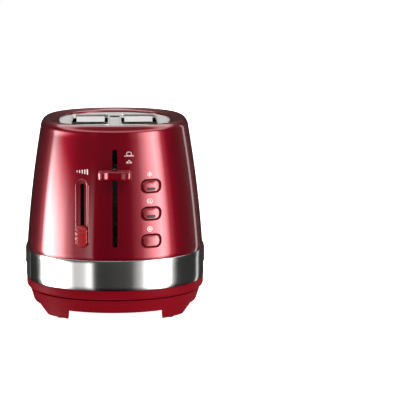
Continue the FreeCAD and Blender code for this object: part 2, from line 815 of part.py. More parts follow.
def guide_rods():
    """Two fixed rods that the carriage slides on, and the bracket over them."""
    rods = []
    for index, side in enumerate(("-rod_x", "rod_x")):
        rods.append(rod(
            f"GuideRod{index}", "rod_radius", "chassis_top + 1 - floor_top", (side, "-carriage_y", "floor_top"),
        ))
    keep(group("GuideRods", rods), "guide_rods")
    web = plate(
        "BracketWeb",
        ("-22", "-carriage_y - 8", "chassis_top + 1"), ("22", "-chassis_y - sheet", "chassis_top + 2.5"),
    )
    keep(web, "spring_bracket")


def carriage_spring():
    """Return spring between the bracket and the carriage's lower lug."""
    radius = 3.6
    low = size("carriage_bottom") + 2.0
    high = size("chassis_top") + 1.0
    wire = 0.45
    spring = Part.makeHelix(4.0, high - low - 2 * wire, radius)
    profile = Part.Wire([Part.makeCircle(wire, FreeCAD.Vector(radius, 0, 0), FreeCAD.Vector(0, 1, 0))])
    shape = Part.Wire(spring.Edges).makePipeShell([profile], True, True)
    shape.translate(FreeCAD.Vector(0, -size("carriage_y"), low + wire))
    keep(feature("CarriageSpring", shape), "carriage_spring")


def bread_racks():
    """Two toothed racks that carry the bread, one in each slot."""
    for sign, word in (("-", "left"), ("", "right")):
        centre = f"{sign}slot_x"
        spine = plate(
            f"RackSpine{word}",
            (f"{centre} - 1", "-carriage_y + 6.5", "rack_top - 8"),
            (f"{centre} + 1", "chassis_y + 3", "rack_top - 1.4"),
        )
        fingers = [spine]
        for index in range(9):
            y = f"{index - 4} * 14.5"
            fingers.append(rod(
                f"Rack{word}Finger{index}", "0.9", "15", (f"{centre} - 7.5", y, "rack_top - 1"), "x",
            ))
        keep(fuse(f"BreadRack{word}", fingers), f"bread_rack_{word}")


def latch_magnet():
    """Electromagnet that holds the carriage down, with its coil."""
    pole = "carriage_bottom - 64.3"
    core = plate("MagnetCore", ("-4", "-carriage_y - 4", "floor_top"), ("4", "-carriage_y + 4", pole))
    keep(core, "latch_magnet_core")
    bobbin = plate(
        "MagnetBobbin", ("-9", "-carriage_y - 9", "floor_top + 5"), ("9", "-carriage_y + 9", "floor_top + 25"),
    )
    passage = plate(
        "BobbinPassage", ("-4", "-carriage_y - 4", "floor_top"), ("4", "-carriage_y + 4", "floor_top + 30"),
    )
    keep(cut("MagnetCoil", bobbin, [passage]), "latch_magnet_coil")
    keep(plate("MainsSwitch", ("-44", "-104", "floor_top"), ("-22", "-86", "46")), "mains_switch")
    keep(plate("TerminalBlock", ("14", "86", "floor_top"), ("42", "100", "30")), "terminal_block")


# ---------------------------------------------------------------- toasting chamber


def end_plates():
    """Front and rear chassis plates with slots for the racks."""
    for word, sign in (("front", "-"), ("rear", "")):
        body = new_body(f"Plate{word}")
        near = "chassis_y" if word == "front" else "-chassis_y - sheet"
        outline_sketch = sketch_on(body, f"{word}Outline", "XZ_Plane", near)
        draw_rectangle(
            outline_sketch, ("0", "(floor_top + chassis_top) / 2"),
            "2 * chassis_half_width", "chassis_top - floor_top",
        )
        pad(body, outline_sketch, "sheet")
        openings = sketch_on(body, f"{word}Openings", "XZ_Plane", "0")
        draw_rectangle(openings, ("0", "(floor_top + chassis_bottom) / 2 - 1"),
                       "2 * tray_half_width + 9", "chassis_bottom - floor_top + 2")
        for side in ("-slot_x", "slot_x"):
            draw_rectangle(openings, (side, "rack_slot_middle"), "5", "rack_slot_tall")
        pocket_through(body, openings)
        keep(body, f"{word}_chassis_plate")


def heat_shields():
    """Reflector sheets outside the slots and between them."""
    places = (("heat_shield_left", "-55"), ("centre_reflector", "0"), ("heat_shield_right", "55"))
    for node, x in places:
        keep(plate(
            node.title().replace("_", ""),
            (f"{x} - 0.3", "-chassis_y", "chassis_bottom + 4"), (f"{x} + 0.3", "chassis_y", "chassis_top - 1"),
        ), node)


def heater_boards():
    """Four mica boards with their flat heating ribbons."""
    for slot_sign, slot_word in (("-", "left"), ("", "right")):
        for side, side_word in ((-1, "a"), (1, "b")):
            outer = (side < 0) == (slot_word == "left")
            word = f"{slot_word}_{'outer' if outer else 'inner'}"
            centre = f"{slot_sign}slot_x + ({side}) * heater_x"
            board = plate(
                f"Mica{slot_word}{side_word}",
                (f"{centre} - mica / 2", "-heater_length / 2", "heater_bottom"),
                (f"{centre} + mica / 2", "heater_length / 2", "heater_bottom + heater_height"),
            )
            keep(board, f"heater_board_{word}")
            face = f"{centre} - ({side}) * (mica + ribbon) / 2"
            strips = []
            for index in range(12):
                height = f"heater_bottom + 8 + {index} * ribbon_pitch"
                strips.append(plate(
                    f"Ribbon{slot_word}{side_word}{index}",
                    (f"{face} - ribbon / 2", "-heater_length / 2 + 4", height),
                    (f"{face} + ribbon / 2", "heater_length / 2 - 4", f"{height} + ribbon_width"),
                ))
            keep(group(f"Ribbons{slot_word}{side_word}", strips), f"heater_ribbon_{word}")


def bread_guides():
    """Four wire cages that close on the bread as the carriage goes down."""
    for slot_sign, slot_word in (("-", "left"), ("", "right")):
        for side in (-1, 1):
            outer = (side < 0) == (slot_word == "left")
            word = f"{slot_word}_{'outer' if outer else 'inner'}"
            x = f"{slot_sign}slot_x + ({side}) * guide_x"
            wires = []
            for index in range(9):
                wires.append(rod(
                    f"GuideWire{word}{index}", "guide_wire / 2", "guide_top - guide_bottom",
                    (x, f"({index - 4}) * guide_pitch", "guide_bottom"),
                ))
            for index, height in enumerate(("guide_bottom", "guide_top")):
                wires.append(plate(
                    f"GuideRail{word}{index}",
                    (f"{x} - 1.1", "-4 * guide_pitch - 1.2", f"{height} - 1.1"),
                    (f"{x} + 1.1", "4 * guide_pitch + 1.2", f"{height} + 1.1"),
                ))
            keep(fuse(f"Guide{word}", wires), f"bread_guide_{word}")


def crumb_tray():
    """Shallow steel pan that slides out at the rear, and the rails that carry it."""
    body = new_body("CrumbTray")
    floor_plan = sketch_on(body, "TrayOutline", "XY_Plane", "tray_bottom")
    draw_rectangle(floor_plan, ("0", "27.5"), "2 * tray_half_width", "203")
    pad(body, floor_plan, "tray_depth")
    inside = sketch_on(body, "TrayInside", "XY_Plane", "tray_bottom + sheet")
    draw_rectangle(inside, ("0", "27.5"), "2 * tray_half_width - 2 * sheet", "203 - 2 * sheet")
    pocket = body.newObject("PartDesign::Pocket", "TrayHollow")
    pocket.Profile = inside
    pocket.setExpression("Length", bound("tray_depth + 1"))
    pocket.Reversed = True
    keep(body, "crumb_tray")
    rails = []
    for index, side in enumerate((-1, 1)):
        xs = sorted([side * 46.0, side * 52.0])
        foot = plate(
            f"RailFoot{index}", (xs[0], "-70", "floor_top"), (xs[1], "110", "tray_bottom - 0.4"),
        )
        xs = sorted([side * 48.6, side * 52.0])
        fence = plate(
            f"RailFence{index}", (xs[0], "-70", "tray_bottom - 0.4"), (xs[1], "110", "tray_bottom + 6"),
        )
        rails.append(fuse(f"TrayRail{index}", [foot, fence]))
    keep(group("TrayRails", rails), "tray_rails")


# ---------------------------------------------------------------- document


def check():
    """Stop if any object failed or any sub-part has no valid shape."""
    faults = []
    for item in doc.Objects:
        if {"Invalid", "Error"} & set(item.State):
            faults.append(f"{item.Name} {item.State}")
    for item in nodes:
        if item.Shape.isNull() or not item.Shape.isValid() or not item.Shape.Solids:
            faults.append(f"{item.Label} has no valid solid")
    if faults:
        raise RuntimeError("; ".join(faults))


def main():
    """Build every sub-part and write one STEP file for each."""
    fill_sheet()
    for build in (
        outer_housing, top_deck, steel_band, base, side_grips, lever_knob, slider_assembly,
        push_buttons, control_board, carriage, guide_rods, carriage_spring, bread_racks,
        latch_magnet, end_plates, heat_shields, heater_boards, bread_guides, crumb_tray,
    ):
        build()
    doc.recompute()
    check()
    os.makedirs("parts", exist_ok=True)
    for item in nodes:
        placed = item.Shape.copy()
        placed.translate(FreeCAD.Vector(0, size("origin_shift"), 0))
        placed.exportStep(f"parts/{item.Label}.step")
        bounds = item.Shape.BoundBox
        print(
            f"{item.Label:26s} {len(item.Shape.Solids):3d} solids {item.Shape.Volume:12.1f} mm3"
            f"  x {bounds.XMin:7.1f} {bounds.XMax:7.1f}  y {bounds.YMin:7.1f} {bounds.YMax:7.1f}"
            f"  z {bounds.ZMin:6.1f} {bounds.ZMax:6.1f}"
        )
    print(len(nodes), "nodes")


main()
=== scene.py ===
"""Studio model of a two-slot pop-up toaster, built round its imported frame, in metres.

The front, with the lever, faces -Y. Every piece takes its place from the frame's nodes.
"""

import logging
import math
from dataclasses import dataclass, field
from enum import Enum
from typing import Any, Callable, Sequence

import bmesh
import bpy
import numpy as np
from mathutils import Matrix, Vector
from mathutils.bvhtree import BVHTree

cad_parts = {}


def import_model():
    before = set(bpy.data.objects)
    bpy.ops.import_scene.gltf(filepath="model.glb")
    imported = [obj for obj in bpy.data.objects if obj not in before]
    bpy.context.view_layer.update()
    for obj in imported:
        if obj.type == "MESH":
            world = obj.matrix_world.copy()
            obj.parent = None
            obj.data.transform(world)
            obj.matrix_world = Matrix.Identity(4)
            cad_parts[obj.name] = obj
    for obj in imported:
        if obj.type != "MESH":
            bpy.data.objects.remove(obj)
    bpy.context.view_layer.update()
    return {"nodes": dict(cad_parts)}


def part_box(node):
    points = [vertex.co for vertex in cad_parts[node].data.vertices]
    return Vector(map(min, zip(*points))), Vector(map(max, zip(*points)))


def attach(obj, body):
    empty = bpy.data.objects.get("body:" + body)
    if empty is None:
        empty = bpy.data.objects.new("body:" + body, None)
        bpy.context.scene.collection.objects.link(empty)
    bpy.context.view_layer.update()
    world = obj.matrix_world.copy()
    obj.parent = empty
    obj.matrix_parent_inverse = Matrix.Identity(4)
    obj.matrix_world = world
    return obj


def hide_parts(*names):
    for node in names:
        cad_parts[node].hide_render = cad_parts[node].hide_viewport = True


MM = 0.001
ROOT = "toaster_body"
RING_POINTS = 240
ORIGIN = (0.0, 0.0, 0.0)
BUTTONS = ("defrost", "reheat", "cancel")
BUTTON_HOLE = (21.3 * MM, 14.7 * MM, 6.2 * MM)
SIDES = ((-1, "left"), (1, "right"))
PATTERN_RANGE = (0.3, 0.7)

Pair = tuple[float, float]
Triple = tuple[float, float, float]
Colour = tuple[float, float, float, float]
Faces = list[tuple[int, ...]]
Outline = tuple[np.ndarray, np.ndarray]
Socket = bpy.types.NodeSocket

log = logging.getLogger("toaster")


# ------------------------------------------------------------------ nodes and colours


def linear(code: str) -> Colour:
    """Turn an sRGB hex code into linear light.

    Args:
        code: Six hex digits, such as "8a0013".

    Returns:
        Linear red, green, blue and an alpha of one.
    """
    channels = [int(code[i:i + 2], 16) / 255 for i in (0, 2, 4)]
    out = [c / 12.92 if c <= 0.04045 else ((c + 0.055) / 1.055) ** 2.4 for c in channels]
    return (out[0], out[1], out[2], 1.0)


def add_node(
    tree: bpy.types.NodeTree, kind: str, inputs: dict | None = None, **settings: Any,
) -> bpy.types.Node:
    """Add one node with its settings, values and links.

    Args:
        tree: Node tree that gets the node.
        kind: Node type name.
        inputs: Socket name or index to a value, or to an output socket to link from.
        **settings: Properties of the node.

    Returns:
        The new node.
    """
    node = tree.nodes.new(kind)
    for name, value in settings.items():
        setattr(node, name, value)
    for key, value in (inputs or {}).items():
        if isinstance(value, bpy.types.NodeSocket):
            tree.links.new(value, node.inputs[key])
        else:
            node.inputs[key].default_value = value
    return node


def grade(tree: bpy.types.NodeTree, value: Socket, stops: Sequence[tuple[float, Colour]]) -> Socket:
    """Colour along a value.

    Args:
        tree: Node tree that gets the ramp.
        value: Position, from 0 to 1.
        stops: Positions and linear colours, lowest position first.

    Returns:
        Colour socket.
    """
    ramp = add_node(tree, "ShaderNodeValToRGB", {"Fac": value})
    elements = ramp.color_ramp.elements
    elements.remove(elements[-1])
    for index, (position, colour) in enumerate(stops):
        element = elements[0] if index == 0 else elements.new(position)
        element.position = position
        element.color = colour
    return ramp.outputs["Color"]


def remap(tree: bpy.types.NodeTree, value: Socket, start: Pair, end: Pair = (0.0, 1.0),
          kind: str = "LINEAR") -> Socket:
    """Map a value from one range to another.

    Args:
        tree: Node tree that gets the node.
        value: Value to map.
        start: Range that the value comes from.
        end: Range that it goes to.
        kind: Interpolation between the ends.

    Returns:
        Mapped value.
    """
    return add_node(tree, "ShaderNodeMapRange", {
        "Value": value, "From Min": start[0], "From Max": start[1], "To Min": end[0], "To Max": end[1],
    }, interpolation_type=kind).outputs["Result"]


def compute(tree: bpy.types.NodeTree, operation: str, *values: Any) -> Socket:
    """Result of one sum on values or sockets."""
    return add_node(tree, "ShaderNodeMath", dict(enumerate(values)), operation=operation).outputs[0]


def blend(tree: bpy.types.NodeTree, factor: Socket, first: Socket, second: Socket) -> Socket:
    """Mix of two colours."""
    inputs = {"Factor": factor, 6: first, 7: second}
    return add_node(tree, "ShaderNodeMix", inputs, data_type="RGBA").outputs[2]


def own_place(tree: bpy.types.NodeTree) -> Socket:
    """Place of a point on its own object."""
    return add_node(tree, "ShaderNodeTexCoord").outputs["Object"]


def cells(tree: bpy.types.NodeTree, size_mm: float) -> bpy.types.Node:
    """Cell texture at a real cell size."""
    return add_node(tree, "ShaderNodeTexVoronoi", {"Vector": own_place(tree), "Scale": 1 / (size_mm * MM)})


# ------------------------------------------------------------------ finishes


@dataclass(frozen=True)
class Finish:
    """A surface finish: two close colours in a fine pattern, with its roughness and relief."""

    name: str
    light: str
    dark: str
    grain_mm: float
    roughness: Pair
    relief_mm: float = 0.01
    metallic: float = 0.0
    coat: float = 0.0
    coat_roughness: float = 0.03
    stretch: Triple = (1.0, 1.0, 1.0)
    specular: float = 0.5
    relief_strength: float = 0.35

    def pattern(self, tree: bpy.types.NodeTree) -> Socket:
        """Fine pattern of the finish, from 0 to 1, at its real size."""
        scaled = add_node(tree, "ShaderNodeMapping", {"Vector": own_place(tree), "Scale": self.stretch})
        noise = add_node(tree, "ShaderNodeTexNoise", {
            "Vector": scaled.outputs["Vector"], "Scale": 1 / (self.grain_mm * MM),
            "Detail": 3.0, "Roughness": 0.6,
        })
        return noise.outputs["Fac"]

    def build(self) -> bpy.types.Material:
        """Make the material, or return the one already made.

        Returns:
            The node material.
        """
        made = bpy.data.materials.get(self.name)
        if made:
            return made
        material = bpy.data.materials.new(self.name)
        material.use_nodes = True
        tree = material.node_tree
        tree.nodes.clear()
        pattern = self.pattern(tree)
        colours = (linear(self.dark), linear(self.light))
        relief = add_node(tree, "ShaderNodeBump", {
            "Height": pattern, "Strength": self.relief_strength, "Distance": self.relief_mm * MM,
        })
        shader = add_node(tree, "ShaderNodeBsdfPrincipled", {
            "Base Color": grade(tree, pattern, list(zip(PATTERN_RANGE, colours))),
            "Roughness": remap(tree, pattern, PATTERN_RANGE, self.roughness),
            "Normal": relief.outputs["Normal"], "Metallic": self.metallic,
            "Coat Weight": self.coat, "Coat Roughness": self.coat_roughness,
            "Specular IOR Level": self.specular,
        })
        self.refine(tree, shader)
        add_node(tree, "ShaderNodeOutputMaterial", {"Surface": shader.outputs["BSDF"]})
        return material

    def refine(self, tree: bpy.types.NodeTree, shader: bpy.types.Node) -> None:
        """Let a special finish change its shader. A plain finish leaves it."""


@dataclass(frozen=True)
class FlakeLacquer(Finish):
    """Candy lacquer over metal flake: flakes glint under a sharp clear coat."""

    flake_mm: float = 0.35
    tilt: float = 0.02
    tilt_mm: float = 0.02

    def refine(self, tree: bpy.types.NodeTree, shader: bpy.types.Node) -> None:
        """Tilt each flake a little, under a smooth coat."""
        flakes = cells(tree, self.flake_mm)
        tilt = add_node(tree, "ShaderNodeBump", {
            "Height": flakes.outputs["Distance"], "Strength": self.tilt, "Distance": self.tilt_mm * MM,
        })
        tree.links.new(tilt.outputs["Normal"], shader.inputs["Normal"])


@dataclass(frozen=True)
class BrushedMetal(Finish):
    """Metal brushed round the body: long fine scratches that blur gloss across them."""

    anisotropy: float = 0.5

    def refine(self, tree: bpy.types.NodeTree, shader: bpy.types.Node) -> None:
        """Blur reflections across the brushing."""
        lay = add_node(tree, "ShaderNodeTangent", direction_type="RADIAL", axis="Z")
        tree.links.new(lay.outputs["Tangent"], shader.inputs["Tangent"])
        shader.inputs["Anisotropic"].default_value = self.anisotropy


@dataclass(frozen=True)
class WoundWire(Finish):
    """Enamelled wire wound in close turns."""

    turn_mm: float = 0.8
    band: float = 0.314  # width of one band of the wave texture at scale 1

    def pattern(self, tree: bpy.types.NodeTree) -> Socket:
        """Bands across the winding, one for each turn."""
        bands = add_node(tree, "ShaderNodeTexWave", {
            "Vector": own_place(tree), "Scale": self.band / (self.turn_mm * MM), "Distortion": 0.3,
        }, bands_direction="Z")
        return bands.outputs["Fac"]


@dataclass(frozen=True)
class Spangled(Finish):
    """Hot-dip zinc: flat crystals with slightly different shine."""

    def pattern(self, tree: bpy.types.NodeTree) -> Socket:
        """One value for each crystal."""
        crystals = cells(tree, self.grain_mm)
        split = add_node(tree, "ShaderNodeSeparateColor", {"Color": crystals.outputs["Color"]})
        return split.outputs["Red"]


@dataclass(frozen=True)
class TracedBoard(Finish):
    """Solder mask over copper tracks, which show as a slightly lighter grid."""

    def pattern(self, tree: bpy.types.NodeTree) -> Socket:
        """Tracks as the joints of a brick pattern."""
        upright = {"Vector": own_place(tree), "Rotation": (math.pi / 2, 0.0, 0.0)}
        turned = add_node(tree, "ShaderNodeMapping", upright)
        tracks = add_node(tree, "ShaderNodeTexBrick", {
            "Vector": turned.outputs["Vector"], "Scale": 1 / (self.grain_mm * MM),
            "Mortar Size": 0.03, "Color1": (0.2, 0.2, 0.2, 1), "Color2": (0.35, 0.35, 0.35, 1),
            "Mortar": (0.8, 0.8, 0.8, 1),
        })
        return tracks.outputs["Color"]


class Finishes(Enum):
    """Every finish on the toaster."""

    # Steel in candy red over flake: coloured glow with sharp white reflections on top.
    BODY_LACQUER = FlakeLacquer(
        "candy_lacquer_on_steel", "7e0019", "720015", 0.8, (0.32, 0.38), 0.004, 0.75, 1.0, 0.015,
        specular=0.0,
    )
    # The mouldings are ABS in the same lacquer, a little softer in gloss.
    MOULDED_LACQUER = FlakeLacquer(
        "candy_lacquer_on_abs", "780016", "6c0012", 0.8, (0.24, 0.30), 0.004, 0.5, 1.0, 0.03,
        specular=0.0,
    )
    # The base is the same ABS dyed red, without the clear coat.
    DYED_ABS = Finish("dyed_red_abs", "6c000f", "64000d", 0.6, (0.42, 0.5), 0.01, specular=0.04)
    # The browning knob is ABS dyed a brighter red, in half gloss.
    KNOB_ABS = Finish("half_gloss_red_abs", "8a0008", "7c0006", 0.6, (0.3, 0.36), 0.004, specular=0.35)
    # Stainless steel with a rolled satin face.
    SATIN_STEEL = BrushedMetal(
        "satin_stainless", "dddbd9", "cfcdcb", 0.5, (0.44, 0.5), 0.003, 1.0,
        stretch=(1.0, 0.05, 1.0), anisotropy=0.0,
    )
    # Stainless steel brushed round the waist: the scratches run level.
    WAIST_STEEL = BrushedMetal(
        "brushed_stainless", "cfcdcb", "c0bebc", 0.16, (0.10, 0.16), 0.001, 1.0,
        stretch=(0.006, 0.006, 1.0),
    )
    # Zinc-coated chassis sheet.
    ZINC_SHEET = Spangled("zinc_coated_sheet", "b9bcbe", "9ea2a5", 5.0, (0.32, 0.46), 0.003, 1.0)
    # Nickel-plated drawn wire.
    PLATED_WIRE = Finish("nickel_plated_wire", "cfcbc4", "b8b4ae", 0.6, (0.16, 0.26), 0.003, 1.0)
    # Hardened and oiled spring wire.
    SPRING_WIRE = Finish("spring_wire", "8f8f92", "77777a", 0.4, (0.25, 0.36), 0.003, 1.0)
    # Laminated iron of the latch magnet.
    MAGNET_IRON = Finish(
        "laminated_iron", "6c6a68", "4f4d4c", 0.5, (0.4, 0.55), 0.02, 1.0, stretch=(1.0, 0.05, 0.05),
    )
    COIL_WIRE = WoundWire("enamelled_copper", "c4683a", "7a3515", 0.8, (0.25, 0.4), 0.15, 0.9)
    # Matt ABS with a fine spark-eroded texture.
    BLACK_ABS = Finish("textured_black_abs", "19191a", "131314", 0.5, (0.42, 0.55), 0.02, specular=0.12)
    # Liners of the button holes: nylon in a darker red.
    DARK_NYLON = Finish("dark_red_nylon", "5c060e", "4c040c", 0.6, (0.45, 0.55), 0.01, specular=0.1)
    RUBBER = Finish("moulded_rubber", "232323", "191919", 0.7, (0.7, 0.85), 0.03)
    SMOKED_LENS = Finish("smoked_polycarbonate", "3a0509", "260306", 1.2, (0.12, 0.18), 0.002, specular=0.15)
    PRINT_INK = Finish("pad_printed_ink", "f1e4e2", "e6d6d4", 0.4, (0.4, 0.5), 0.004)
    MICA = Finish(
        "pressed_mica", "b9a78a", "8f7c60", 3.0, (0.35, 0.6), 0.02, stretch=(1.0, 1.0, 1.6),
    )
    HEATING_ALLOY = Finish(
        "oxidised_heating_alloy", "7b706a", "5a504b", 0.6, (0.45, 0.6), 0.01, 0.9, stretch=(1.0, 0.1, 1.0),
    )
    SOLDER_MASK = TracedBoard("solder_mask", "2f7a4a", "12492a", 6.0, (0.3, 0.45), 0.02)
    WHITE_NYLON = Finish("white_nylon", "e8e6de", "dad7cd", 0.8, (0.4, 0.5), 0.01)

    @property
    def material(self) -> bpy.types.Material:
        """Material of this finish."""
        return self.value.build()


# ------------------------------------------------------------------ meshes


@dataclass
class Piece:
    """One finished mesh and how it joins the frame."""

    name: str
    points: np.ndarray
    faces: Faces
    finish: Finishes
    slot: str
    body: str = ROOT
    stands_for: tuple[str, ...] = ()
    crease: float = 32.0

    def build(self) -> bpy.types.Object:
        """Make the object with outward faces and smooth shading.

        Returns:
            The object, not yet joined to the frame.
        """
        obj = solid(self.name, self.points, self.faces)
        smooth(obj.data, self.crease)
        obj.data.materials.append(self.finish.material)
        return obj

    def place(self, cutters: Sequence[bpy.types.Object] = ()) -> None:
        """Build the object, cut its openings and join it to the frame."""
        obj = self.build()
        if cutters:
            Carver(obj).cut(cutters)
        join(obj, self.body, self.slot, *self.stands_for)
        log.info("%s: %d faces on %s", self.name, len(obj.data.polygons), self.body)


def solid(name: str, points: Sequence, faces: Faces) -> bpy.types.Object:
    """Mesh object with outward faces, linked to the scene."""
    mesh = bpy.data.meshes.new(name)
    mesh.from_pydata(np.asarray(points).tolist(), [], faces)
    obj = bpy.data.objects.new(name, mesh)
    bpy.context.scene.collection.objects.link(obj)
    turn_outward(mesh)
    return obj


def join(obj: bpy.types.Object, body: str, slot: str, *nodes: str) -> None:
    """Parent an object to its body and hide the nodes that it replaces."""
    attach(obj, body)
    if nodes:
        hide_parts(*nodes)


def turn_outward(mesh: bpy.types.Mesh) -> None:
    """Merge doubled points and point every face outwards."""
    work = bmesh.new()
    work.from_mesh(mesh)
    bmesh.ops.remove_doubles(work, verts=work.verts, dist=1e-7)
    bmesh.ops.recalc_face_normals(work, faces=work.faces)
    work.to_mesh(mesh)
    work.free()


def smooth(mesh: bpy.types.Mesh, crease: float) -> None:
    """Shade a mesh smooth, with sharp edges where it turns by more than an angle in degrees."""
    mesh.polygons.foreach_set("use_smooth", [True] * len(mesh.polygons))
    mesh.set_sharp_from_angle(angle=math.radians(crease))
    mesh.update()


def grid_faces(rows: int, columns: int, close_rows: bool, close_columns: bool) -> Faces:
    """Faces of a grid of points.

    Args:
        rows: Number of rows.
        columns: Number of points in a row.
        close_rows: Join the last row to the first.
        close_columns: Join the ends of each row.

    Returns:
        Quads as point indices.
    """
    faces = []
    for row in range(rows if close_rows else rows - 1):
        below = row * columns
        above = (row + 1) % rows * columns
        for column in range(columns if close_columns else columns - 1):
            following = (column + 1) % columns
            faces.append((below + column, below + following, above + following, above + column))
    return faces


def capped_faces(rows: int, columns: int) -> Faces:
    """Faces of a stack of closed rings with a flat face on each end."""
    faces = grid_faces(rows, columns, False, True)
    faces.append(tuple(range(columns)))
    faces.append(tuple((rows - 1) * columns + i for i in range(columns)))
    return faces


def level_ring(x: np.ndarray, y: np.ndarray, height: float) -> np.ndarray:
    """Points of one level ring."""
    return np.column_stack([x, y, np.full(len(x), height)])


def arc(centre: Pair, radius: float, start: float, end: float, steps: int) -> list[Pair]:
    """Points on an arc, with its angles in degrees, both ends included."""
    out = []
    for step in range(steps + 1):
        angle = math.radians(start + (end - start) * step / steps)
        out.append((centre[0] + radius * math.cos(angle), centre[1] + radius * math.sin(angle)))
    return out


def rounded_outline(width: float, height: float, radius: float, per_corner: int = 10) -> Outline:
    """Rounded rectangle about the origin, with its outward normals.

    Args:
        width: Size along the first axis.
        height: Size along the second axis.
        radius: Corner radius.
        per_corner: Steps in each corner. Straight stretches are divided about as finely.

    Returns:
        Points and unit normals, anticlockwise.
    """
    points, normals = [], []
    step = radius * math.pi / 2 / per_corner
    corners = [(1, -1, -90.0, (0.0, 1.0)), (1, 1, 0.0, (-1.0, 0.0)), (-1, 1, 90.0, (0.0, -1.0)),
               (-1, -1, 180.0, (1.0, 0.0))]
    for index, (sx, sy, first, along) in enumerate(corners):
        middle = (sx * (width / 2 - radius), sy * (height / 2 - radius))
        for point in arc(middle, radius, first, first + 90.0, per_corner):
            points.append(point)
            normals.append(((point[0] - middle[0]) / radius, (point[1] - middle[1]) / radius))
        length = (height if index % 2 == 0 else width) - 2 * radius
        count = max(0, int(length / step) - 1)
        last = points[-1]
        for k in range(1, count + 1):
            reach = length * k / (count + 1)
            points.append((last[0] + along[0] * reach, last[1] + along[1] * reach))
            normals.append(normals[-1])
    return np.array(points), np.array(normals)


# ------------------------------------------------------------------ the leaning skin


